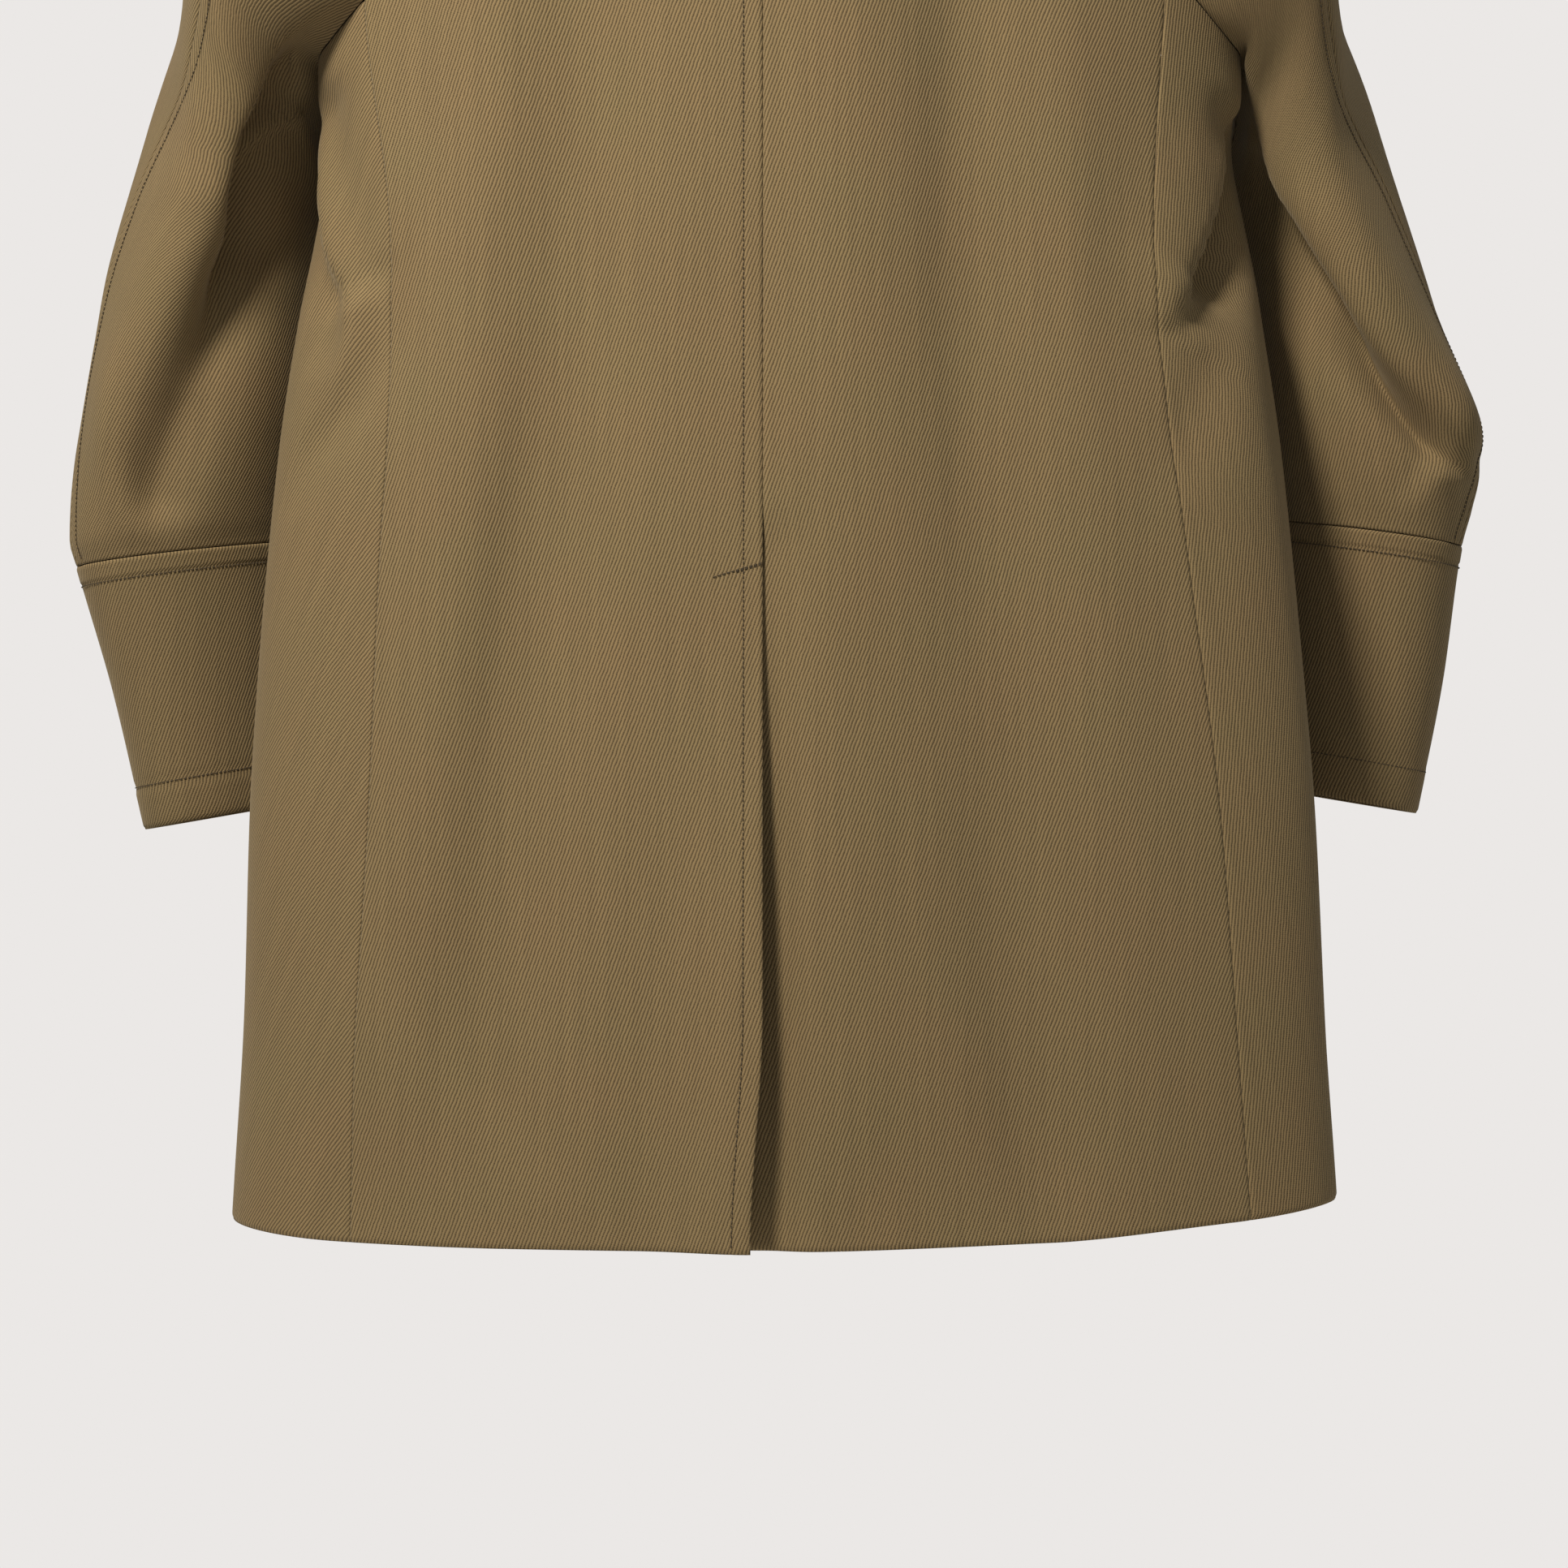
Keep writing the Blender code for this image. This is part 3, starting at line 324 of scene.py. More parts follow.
# Where the over-arm seam lies round the sleeve
SeamPlace = namedtuple("SeamPlace", "station place")
OVER_ARM_SEAM = (
    SeamPlace(0.00, 1.00),
    SeamPlace(0.40, 0.96),
    SeamPlace(0.70, 0.84),
    SeamPlace(0.88, 0.66),
    SeamPlace(1.00, 0.56),
    SeamPlace(1.09, 0.70),
    SeamPlace(1.17, 0.89),
    SeamPlace(1.26, 0.97),
    SeamPlace(1.40, 1.00),
    SeamPlace(2.20, 1.00),
)

# The sleeves' largest folds, straight lines by station and place round the sleeve
SleeveFold = namedtuple("SleeveFold", "station_a place_a station_b place_b width rise")
SLEEVE_FOLDS_LEFT = (
    SleeveFold(1.22, 0.36, 1.68, 0.66, 0.11, -0.012),
    SleeveFold(1.04, 0.36, 1.58, 0.84, 0.12, 0.007),
    SleeveFold(1.47, 1.02, 1.64, 1.40, 0.10, -0.005),
)
SLEEVE_FOLDS_RIGHT = (
    SleeveFold(1.28, 0.30, 1.58, 0.76, 0.11, -0.009),
    SleeveFold(1.06, 0.30, 1.52, 0.94, 0.12, 0.007),
    SleeveFold(1.47, 1.02, 1.64, 1.40, 0.10, -0.005),
)

# Creases of the sleeves, by station and place round the sleeve
LEFT_SLEEVE_CREASES = (
    # edge of the upper arm, from the armhole seam down past the hollow behind the armpit
    (
        Crease(0.80, 0.030, 0.000, 0.03, 0.12),
        Crease(0.90, 0.090, 0.005, 0.03, 0.16),
        Crease(0.97, 0.160, 0.008, 0.03, 0.18),
        Crease(1.06, 0.290, 0.010, 0.035, 0.20),
        Crease(1.16, 0.490, 0.011, 0.035, 0.20),
        Crease(1.22, 0.520, 0.011, 0.035, 0.20),
        Crease(1.28, 0.490, 0.010, 0.040, 0.20),
        Crease(1.34, 0.515, 0.007, 0.050, 0.20),
        Crease(1.43, 0.560, 0.003, 0.080, 0.20),
        Crease(1.52, 0.620, 0.000, 0.100, 0.20),
    ),
    # the hollow
    (
        Crease(0.94, 0.040, 0.000, 0.06, 0.04),
        Crease(1.00, 0.110, -0.010, 0.06, 0.045),
        Crease(1.06, 0.195, -0.016, 0.10, 0.05),
        Crease(1.16, 0.385, -0.021, 0.16, 0.05),
        Crease(1.22, 0.415, -0.021, 0.16, 0.05),
        Crease(1.28, 0.385, -0.017, 0.16, 0.05),
        Crease(1.34, 0.425, -0.010, 0.14, 0.06),
        Crease(1.42, 0.480, -0.004, 0.12, 0.08),
        Crease(1.50, 0.540, 0.000, 0.10, 0.10),
    ),
    # small fold across the hollow
    (
        Crease(1.05, 0.08, 0.000, 0.03, 0.03),
        Crease(1.08, 0.13, 0.006, 0.03, 0.03),
        Crease(1.12, 0.24, 0.007, 0.03, 0.03),
        Crease(1.16, 0.34, 0.005, 0.03, 0.03),
        Crease(1.19, 0.40, 0.000, 0.03, 0.03),
    ),
    # soft fold across the front of the elbow
    (
        Crease(1.30, 1.30, 0.000, 0.10, 0.06),
        Crease(1.42, 1.40, -0.006, 0.10, 0.06),
        Crease(1.54, 1.55, -0.004, 0.10, 0.06),
        Crease(1.64, 1.66, 0.000, 0.10, 0.06),
    ),
)
RIGHT_SLEEVE_CREASES = (
    # straight edge of the upper arm, from the armhole seam to the corner of the elbow
    (
        Crease(0.80, 0.020, 0.000, 0.025, 0.12),
        Crease(0.90, 0.045, 0.005, 0.025, 0.16),
        Crease(1.00, 0.085, 0.008, 0.030, 0.20),
        Crease(1.06, 0.130, 0.008, 0.030, 0.20),
        Crease(1.11, 0.205, 0.009, 0.030, 0.20),
        Crease(1.16, 0.290, 0.010, 0.035, 0.20),
        Crease(1.235, 0.400, 0.011, 0.035, 0.20),
        Crease(1.345, 0.530, 0.012, 0.040, 0.20),
        Crease(1.44, 0.650, 0.013, 0.045, 0.20),
        Crease(1.50, 0.780, 0.010, 0.050, 0.18),
        Crease(1.56, 0.920, 0.000, 0.050, 0.16),
    ),
    # the fold under it
    (
        Crease(1.10, 0.06, 0.000, 0.06, 0.05),
        Crease(1.18, 0.20, -0.008, 0.10, 0.06),
        Crease(1.27, 0.31, -0.014, 0.13, 0.06),
        Crease(1.35, 0.42, -0.018, 0.11, 0.065),
        Crease(1.43, 0.52, -0.019, 0.09, 0.07),
        Crease(1.50, 0.64, -0.016, 0.08, 0.07),
        Crease(1.56, 0.78, -0.010, 0.08, 0.06),
        Crease(1.61, 0.90, 0.000, 0.08, 0.05),
    ),
    # soft fold across the front of the elbow
    (
        Crease(1.28, 1.28, 0.000, 0.10, 0.06),
        Crease(1.40, 1.42, -0.006, 0.10, 0.06),
        Crease(1.52, 1.52, -0.004, 0.10, 0.06),
        Crease(1.66, 1.62, 0.000, 0.10, 0.06),
    ),
)

# Collar, centre back to gorge: height and inward lean of the stand, and the outer edge of the fall
CollarRow = namedtuple("CollarRow", "along stand lean edge_x edge_y edge_z")
COLLAR = (
    CollarRow(0.00, 0.040, 0.000, 0.000, -0.0980, -0.0570),
    CollarRow(0.30, 0.038, 0.000, 0.082, -0.0960, -0.0500),
    CollarRow(0.42, 0.034, 0.002, 0.127, -0.0640, -0.0150),
    CollarRow(0.55, 0.028, 0.004, 0.148, -0.0050, 0.0020),
    CollarRow(0.80, 0.011, 0.000, 0.146, 0.0780, -0.0420),
    CollarRow(1.00, 0.003, 0.000, 0.113, 0.1080, -0.0880),
)

# Lapel width by the share of the roll line, from the break point up
LapelPoint = namedtuple("LapelPoint", "share width")
LAPEL = (
    LapelPoint(0.00, 0.006),
    LapelPoint(0.15, 0.032),
    LapelPoint(0.40, 0.067),
    LapelPoint(0.70, 0.092),
    LapelPoint(0.86, 0.099),
)


def smooth(rows, column, at):
    """Value of a table's column on a smooth cubic through its rows; the first column is the place."""
    place = np.array([row[0] for row in rows], float)
    value = np.array([getattr(row, column) for row in rows], float)
    at = np.asarray(at, float)
    step = np.diff(place)
    slope = np.diff(value) / step
    product = slope[:-1] * slope[1:]
    total = np.where(product > 0, slope[:-1] + slope[1:], 1.0)
    inner = np.where(product > 0, 2.0 * product / total, 0.0)
    tangent = np.concatenate(([slope[0]], inner, [slope[-1]]))
    index = np.clip(np.searchsorted(place, at) - 1, 0, len(place) - 2)
    share = np.clip((at - place[index]) / step[index], 0.0, 1.0)
    past = at - place[index] - share * step[index]
    cubic = (
        value[index] * (1 + 2 * share) * (1 - share) ** 2
        + value[index + 1] * share ** 2 * (3 - 2 * share)
        + tangent[index] * step[index] * share * (1 - share) ** 2
        - tangent[index + 1] * step[index] * share ** 2 * (1 - share)
    )
    return cubic + past * np.where(past > 0, tangent[index + 1], tangent[index])


def ease(value):
    """Soft step from 0 to 1."""
    value = np.clip(value, 0.0, 1.0)
    return value * value * (3.0 - 2.0 * value)


def mix(first, second, share):
    """Straight blend of two values or points."""
    return first + (second - first) * share


def bell(distance, width):
    """Soft hump of height one, fading over a width."""
    return np.exp(-((distance / width) ** 2))


def unit(vectors):
    """Vectors scaled to length one."""
    return vectors / np.linalg.norm(vectors, axis=-1, keepdims=True)


def points(x, y, z):
    """Three arrays joined into points."""
    return np.stack(np.broadcast_arrays(x, y, z), axis=-1)


def nominal_girth():
    """Way round a middling rounded section against the turn from the centre back."""
    turn = np.radians(np.linspace(-70.0, 260.0, 661))
    wide, deep = np.abs(np.sin(turn) / MIDDLING_WIDTH), np.abs(np.cos(turn) / MIDDLING_DEPTH)
    radius = (wide ** SQUARENESS + deep ** SQUARENESS) ** (-1.0 / SQUARENESS)
    x, y = radius * np.sin(turn), -radius * np.cos(turn)
    way = np.concatenate(([0.0], np.cumsum(np.hypot(np.diff(x), np.diff(y)))))
    return turn, way - np.interp(0.0, turn, way)


GIRTH_TURN, GIRTH_WAY = nominal_girth()


def creased(creases, at, across):
    """Sum of creases: each follows its path and fades as a bell curve, its own width on either side."""
    total = np.zeros(np.broadcast(at, across).shape)
    for rows in creases:
        on = np.clip(at, rows[0].at, rows[-1].at)
        away = across - smooth(rows, "across", on)
        width = np.where(away < 0, smooth(rows, "left", on), smooth(rows, "right", on))
        total = total + smooth(rows, "rise", on) * bell(away, width)
    return total


def fold_rise(girth, z):
    """Height of the body's folds: bell-shaped ridges and troughs on straight lines, then the creases."""
    rise = creased(BODY_CREASES, -z, girth)
    for fold in BODY_FOLDS:
        run_g, run_z = fold.girth_b - fold.girth_a, fold.z_b - fold.z_a
        length = np.hypot(run_g, run_z)
        along = ((girth - fold.girth_a) * run_g + (z - fold.z_a) * run_z) / length ** 2
        across = ((girth - fold.girth_a) * run_z - (z - fold.z_a) * run_g) / length
        ends = ease(along / 0.18 + 0.5) * ease((1.0 - along) / 0.18 + 0.5)
        rise = rise + fold.rise * ends * bell(across, fold.half_width)
    return rise


def body(side, turn, z, out=0.0):
    """Point of the body: a superellipse at height z, by turn from the centre back, moved out by folds."""
    half = smooth(BODY, "half_width", z)
    depth = np.where(np.cos(turn) > 0, smooth(BODY, "back", z), smooth(BODY, "front", z))
    sine, cosine = np.sin(turn), np.cos(turn)
    power = SQUARENESS
    radius = (np.abs(sine / half) ** power + np.abs(cosine / depth) ** power) ** (-1.0 / power)
    lean_x = np.sign(sine) * np.abs(radius * sine) ** (power - 1) / half ** power
    lean_y = -np.sign(cosine) * np.abs(radius * cosine) ** (power - 1) / depth ** power
    lean = np.hypot(lean_x, lean_y)
    rise = out + fold_rise(side * np.interp(turn, GIRTH_TURN, GIRTH_WAY), z)
    return points(
        side * (radius * sine + rise * lean_x / lean),
        -radius * cosine + rise * lean_y / lean,
        z,
    )


def turn_at(x, z, face):
    """Turn from the centre back of the point at a given x on the back or front face."""
    half, depth = smooth(BODY, "half_width", z), smooth(BODY, face, z)
    inside = np.maximum(1.0 - np.abs(x / half) ** SQUARENESS, 0.0)
    y = depth * inside ** (1.0 / SQUARENESS)
    return np.arctan2(x, y) if face == "back" else np.arctan2(x, -y)


def side_name(side):
    """Word for a side."""
    return "left" if side == LEFT else "right"


def hem_z(side, turn):
    """Height of the hem at a turn from the centre back."""
    return smooth(HEM, side_name(side), np.degrees(turn))


def raglan_z(turn):
    """Height of the raglan seam at a turn from the centre back."""
    return smooth(RAGLAN, "z", np.degrees(turn))


def roll_z(x):
    """Height of the lapel's roll line at a distance from the centre front."""
    return mix(NECK_CORNER[1], BREAK_Z, (NECK_CORNER[0] - x) / (NECK_CORNER[0] + OVERLAP))


def back_x(side, across, z):
    """Distance from the middle, outward on this side, at a share of a back panel's width."""
    return mix(side * CENTRE_BACK_X, smooth(SIDE_BACK_SEAM, side_name(side), z), across)


def seam_roll(distance):
    """Cloth turned down into a seam: a narrow drop at the edge."""
    return -0.0006 * bell(distance, 0.0010)


def hem_roll(distance):
    """Cloth turned up at a hem: its edge rounded inwards."""
    return -0.0009 * bell(distance, 0.0016)


def welt(distance, width):
    """Band lifted by the allowance under it, from a seam to a stitch line that draws the cloth in."""
    band = ease((distance - 0.0004) / 0.0018) - ease((distance - width + 0.0012) / 0.0014)
    return 0.0004 * band - 0.0003 * bell(distance - width, 0.0011)


def back_point(side, x, z):
    """Point of a back at a distance x from the middle: vent layers, rolled edges and topstitched welt."""
    near = x - side * CENTRE_BACK_X
    turn = turn_at(x, z, "back")
    below = ease((VENT_TOP_Z - z) / 0.37)
    out = seam_roll(smooth(SIDE_BACK_SEAM, side_name(side), z) - x) + hem_roll(z - hem_z(side, turn))
    if side == LEFT:
        lift = VENT_LIFT * below + 0.005 * ease((VENT_TOP_Z - z) / 0.25)
        out = out + lift * ease(1.0 - np.abs(near) / 0.07) + welt(near, CENTRE_STITCH)
        out = out + seam_roll(near) * (1.0 - 0.5 * below)
        x = x + 0.0066 * ease((-0.80 - z) / 0.13) * ease(1.0 - np.abs(near) / 0.07)
    else:
        tucked = ease((VENT_TOP_Z + 0.035 - z) / 0.03)
        under = LAYER + 0.006 * ease((VENT_TOP_Z - z) / 0.20)
        out = out - under * tucked * ease(1.0 - near / 0.03) + seam_roll(near) * (1.0 - tucked)
    return body(side, turn_at(x, z, "back"), z, out)


def back_panel(side):
    """Surface of one back: across from the centre back to the side-back seam, up from hem to raglan."""

    def surface(across, up):
        top = np.full(np.broadcast(across, up).shape, -0.15)
        for _ in range(8):
            top = raglan_z(turn_at(back_x(side, across, top), top, "back"))
        hem = hem_z(side, turn_at(back_x(side, across, HEM_Z), HEM_Z, "back"))
        z = mix(hem, top - 0.0003, up)
        return back_point(side, back_x(side, across, z), z)

    return surface


def seam_top(side):
    """Turn and height where the side-back seam runs into the raglan seam."""
    z = -0.24
    for _ in range(20):
        turn = turn_at(smooth(SIDE_BACK_SEAM, side_name(side), z), z, "back")
        z = mix(z, raglan_z(turn), 0.5)
    return turn, z


def front_rim(side, around):
    """Turn and height of a front's upper edge: raglan seam up to the neck corner, then roll line down."""
    first, corner = seam_top(side)[0], np.radians(RAGLAN[-1].turn)
    rising = mix(first, corner, around / RAGLAN_SHARE)
    x = mix(NECK_CORNER[0], -OVERLAP, (around - RAGLAN_SHARE) / (1.0 - RAGLAN_SHARE))
    falling = np.mod(turn_at(x, roll_z(x), "front"), 2.0 * np.pi)
    on_raglan = around < RAGLAN_SHARE
    return np.where(on_raglan, rising, falling), np.where(on_raglan, raglan_z(rising), roll_z(x))


def front_ends(side, z):
    """Girth of the side-back seam and of the front edge at a height."""
    below = np.minimum(z, seam_top(side)[1])
    start = turn_at(smooth(SIDE_BACK_SEAM, side_name(side), below), below, "back")
    end = np.mod(turn_at(-OVERLAP, z, "front"), 2.0 * np.pi)
    return np.interp(start, GIRTH_TURN, GIRTH_WAY), np.interp(end, GIRTH_TURN, GIRTH_WAY)


def front_layer(side, x, y):
    """How far a front is moved out or in where the two fronts cross."""
    reach = ease((0.115 - x) / 0.03) * (y > 0)
    return reach * (0.0035 if side == LEFT else -0.0025)


def front_panel(side):
    """Surface of one front: around from the side-back seam to the front edge, up from the hem."""

    def surface(around, up):
        turn, top = front_rim(side, around)
        low, high = front_ends(side, top)
        share = (np.interp(turn, GIRTH_TURN, GIRTH_WAY) - low) / (high - low)
        low, high = front_ends(side, -0.925)
        hem = hem_z(side, np.interp(mix(low, high, around), GIRTH_WAY, GIRTH_TURN))
        z = mix(hem, top - 0.0003, up)
        low, high = front_ends(side, z)
        girth = mix(low, high, mix(around, share, up))
        turn = np.interp(girth, GIRTH_WAY, GIRTH_TURN)
        plain = body(RIGHT, turn, z)
        out = front_layer(side, plain[..., 0], plain[..., 1])
        out = out + seam_roll(girth - low) + hem_roll(z - hem) - 0.0006 * bell(high - girth, 0.0014)
        return body(side, turn, z, out)

    return surface


def lapel_panel(side):
    """Surface of one lapel: the front's own points beside the roll line, moved out by a layer."""

    def surface(share, over):
        width = smooth(LAPEL, "width", share)
        run = np.array([NECK_CORNER[0] + OVERLAP, NECK_CORNER[1] - BREAK_Z])
        across = np.array([run[1], -run[0]]) / np.hypot(*run)
        reach = mix(-0.003, width, over)
        x = -OVERLAP + share * run[0] + reach * across[0]
        z = BREAK_Z + share * run[1] + reach * across[1]
        turn = np.mod(turn_at(x, z, "front"), 2.0 * np.pi)
        out = front_layer(side, x, 1.0) + LAYER + 0.004 * np.sin(np.pi * np.clip(over, 0.0, 1.0)) * share
        return body(side, turn, z, out)

    return surface


OverArm = namedtuple("OverArm", "station x y z")


def sleeve_rows(side):
    """Table of one arm's stations."""
    return ARM_LEFT if side == LEFT else ARM_RIGHT


def over_arm(side, station):
    """Point of the over-arm line, from neck to cuff hem."""
    arm = sleeve_rows(side)
    spread = arm[0].xo / SHOULDER[-1].x
    rows = [
        OverArm(row.station, row.x * mix(1.0, spread, row.station), row.y, row.z)
        for row in SHOULDER[:-1]
    ]
    rows += [OverArm(row.station, row.xo, row.yo, row.zo) for row in arm]
    return points(smooth(rows, "x", station), smooth(rows, "y", station), smooth(rows, "z", station))


def sleeve_base(side, station, place):
    """Sleeve without folds: each half is a cubic from the raglan or under-arm seam to the over-arm line."""
    arm = sleeve_rows(side)
    station, place = np.broadcast_arrays(np.asarray(station, float), np.asarray(place, float))
    place = np.where(station < 1.0, place, np.mod(place, 2.0))
    behind = place < 1.0
    lower = np.maximum(station, 1.0)
    upper = np.minimum(station, 1.0)
    turn = np.radians(np.where(
        behind, smooth(SHOULDER, "back_turn", upper), smooth(SHOULDER, "front_turn", upper)))
    height = raglan_z(turn)
    seam = body(RIGHT, turn, height)
    under = points(smooth(arm, "xi", lower), smooth(arm, "yi", lower), smooth(arm, "zi", lower))
    armpit = body(RIGHT, np.pi / 2, raglan_z(np.pi / 2)) - points(arm[0].xi, arm[0].yi, arm[0].zi)
    under = under + armpit * ease((1.08 - lower) / 0.08)[..., None]
    start = np.where((station < 1.0)[..., None], seam, under)
    end = over_arm(side, station)
    chord = unit(end - start)
    aim = np.zeros(start.shape)
    aim[..., 1] = np.where(behind, -1.0, 1.0)
    square = unit(aim - (aim * chord).sum(-1, keepdims=True) * chord)
    lift = np.where(behind, 0.12, -0.12)
    along_body = unit(body(RIGHT, turn + lift, height + 0.012) - seam)
    on_arm = ease((1.55 - station) / 0.35) * ease((station - 1.0) / 0.1)
    past = 0.12 + np.where(behind, 0.50, -0.30) * on_arm
    clear = unit(aim + points(past, 0.0, 0.0))
    lean = 0.5 * ease((1.06 - station) / 0.12)
    at_armpit = unit(clear + lean[..., None] * chord)
    leave = unit(mix(along_body, at_armpit, ease((station - 0.35) / 0.65)[..., None]))
    bulge = np.where(behind, smooth(arm, "back", lower), smooth(arm, "front", lower))
    gap = np.linalg.norm(end - start, axis=-1)
    handle = mix(0.42 * gap, bulge * 4.0 / 3.0, ease((station - 0.3) / 0.7))
    first = start + leave * handle[..., None]
    arrive = unit(mix(aim, square, ease((station - 0.5) / 0.5)[..., None]))
    second = end + arrive * handle[..., None]
    share = np.where(behind, place, 2.0 - place)[..., None]
    curve = (
        start * (1 - share) ** 3
        + first * 3 * share * (1 - share) ** 2
        + second * 3 * share ** 2 * (1 - share)
        + end * share ** 3
    )
    return curve * np.array([side, 1.0, 1.0])


def hung_sleeve(side, station, place):
    """Sleeve hung straight past the armpit: a cubic from shoulder to upper arm, away from the seams."""
    station, place = np.broadcast_arrays(np.asarray(station, float), np.asarray(place, float))
    step, span = 0.02, HANG_END - HANG_TOP
    upper, lower = sleeve_base(side, HANG_TOP, place), sleeve_base(side, HANG_END, place)
    leave = (upper - sleeve_base(side, HANG_TOP - step, place)) * span / step
    arrive = (sleeve_base(side, HANG_END + step, place) - lower) * span / step
    share = np.clip((station - HANG_TOP) / span, 0.0, 1.0)[..., None]
    straight = (
        upper * (1.0 + 2.0 * share) * (1.0 - share) ** 2 + leave * share * (1.0 - share) ** 2
        + lower * share ** 2 * (3.0 - 2.0 * share) - arrive * share ** 2 * (1.0 - share)
    )
    within = (station > HANG_TOP) & (station < HANG_END)
    away = np.minimum(place, 2.0 - place)
    off_seam, off_over_arm = ease(away / 0.10), ease((0.95 - away) / 0.40)
    weight = off_seam * off_over_arm * within
    return mix(sleeve_base(side, station, place), straight, weight[..., None])


def surface_normal(surface, u, v, step=0.004):
    """Unit normal of a two-parameter surface from small steps along both parameters."""
    along_u = surface(u + step, v) - surface(u - step, v)
    along_v = surface(u, v + step) - surface(u, v - step)
    return unit(np.cross(along_u, along_v))


def sleeve_folds(side, station, place):
    """Height of the sleeve's folds: bell-shaped lines on the unrolled sleeve, then the finer creases."""
    rise = creased(LEFT_SLEEVE_CREASES if side == LEFT else RIGHT_SLEEVE_CREASES, station, place)
    for fold in SLEEVE_FOLDS_LEFT if side == LEFT else SLEEVE_FOLDS_RIGHT:
        run_s, run_p = fold.station_b - fold.station_a, fold.place_b - fold.place_a
        length = np.hypot(run_s, run_p)
        along = ((station - fold.station_a) * run_s + (place - fold.place_a) * run_p) / length ** 2
        across = ((station - fold.station_a) * run_p - (place - fold.place_a) * run_s) / length
        ends = ease(along / 0.4 + 0.5) * ease((1.0 - along) / 0.2 + 0.5)
        rise = rise + fold.rise * ends * bell(across, fold.width)
    return rise * ease((CUFF_STATION - station) / 0.08)


def seam_place(station, place):
    """Place round the sleeve by shares of its halves: 0 to 1 behind the over-arm seam, 1 to 2 before it."""
    seam = smooth(OVER_ARM_SEAM, "place", station)
    return np.where(place < 1.0, seam * place, 2.0 - (2.0 - seam) * (2.0 - place))


def sleeve_speed(side, station):
    """Metres per unit of place beside the over-arm seam, and per unit of station down the sleeve's back."""
    table = np.linspace(0.0, CUFF_END, 120)
    at = seam_place(table, np.full(table.shape, 0.99))
    beside = sleeve_base(side, table, at) - sleeve_base(side, table, at - 0.02)
    round_it = np.linalg.norm(beside, axis=-1) / 0.02 * smooth(OVER_ARM_SEAM, "place", table)
    middle = np.full(table.shape, 0.5)
    below = sleeve_base(side, table + 0.01, middle) - sleeve_base(side, table, middle)
    down = np.linalg.norm(below, axis=-1) / 0.01
    return np.interp(station, table, round_it), np.interp(station, table, down)


def sleeve(side):
    """Surface of one sleeve: station from neck to cuff hem, place round it; folds and sewn edges on top."""

    def base(station, place):
        return hung_sleeve(side, station, place)

    def surface(station, place):
        open_up = 0.004 * bell(station - 1.01, 0.05)
        share = place + open_up * np.where(place < 1.0, 1.0, -1.0) * np.abs(1.0 - place) ** 6
        at = seam_place(station, share)
        round_it, down = sleeve_speed(side, station)
        behind, before = (1.0 - place) * round_it, np.abs(1.0 - place) * round_it
        on_sleeve = station < CUFF_STATION + 0.0006
        sewn = seam_roll(before) + np.where(place < 1.0, welt(behind, OVER_ARM_STITCH), 0.0)
        from_cuff = (CUFF_STATION - station) * down
        from_hem = (CUFF_END - station) * down
        joined = 0.6 * seam_roll(from_cuff)
        cuff = joined + welt(-from_cuff, CUFF_STITCH) - 0.0006 * bell(from_hem - CUFF_HEM_STITCH, 0.0011)
        cuff = cuff + 0.0004 * ease((CUFF_HEM_STITCH - 0.0005 - from_hem) / 0.001) + hem_roll(from_hem)
        rise = sleeve_folds(side, station, at) + np.where(on_sleeve, sewn + joined, cuff)
        normal = surface_normal(base, station, at, 0.002) * side
        return base(station, at) + normal * rise[..., None]

    return surface


def neckline(along):
    """Foot of the collar on one side: back neck, top of the sleeve, then the roll line to the gorge."""
    back_turn = np.radians(np.clip(along / 0.30, -0.2, 1.0) * SHOULDER[0].back_turn)
    on_back = body(RIGHT, back_turn, raglan_z(back_turn))
    on_sleeve = sleeve_base(RIGHT, np.zeros(np.shape(along)), np.clip((along - 0.30) / 0.25, 0.0, 2.0))
    share = mix(1.0, COLLAR_END, np.clip((along - 0.80) / 0.20, 0.0, 1.2))
    x = -OVERLAP + share * (NECK_CORNER[0] + OVERLAP)
    on_front = body(RIGHT, turn_at(x, roll_z(x), "front"), roll_z(x), 0.0035)
    low = np.where((along < 0.30)[..., None], on_back, on_sleeve)
    return np.where((along < 0.80)[..., None], low, on_front) + np.array([0.0, 0.0, 0.0010])


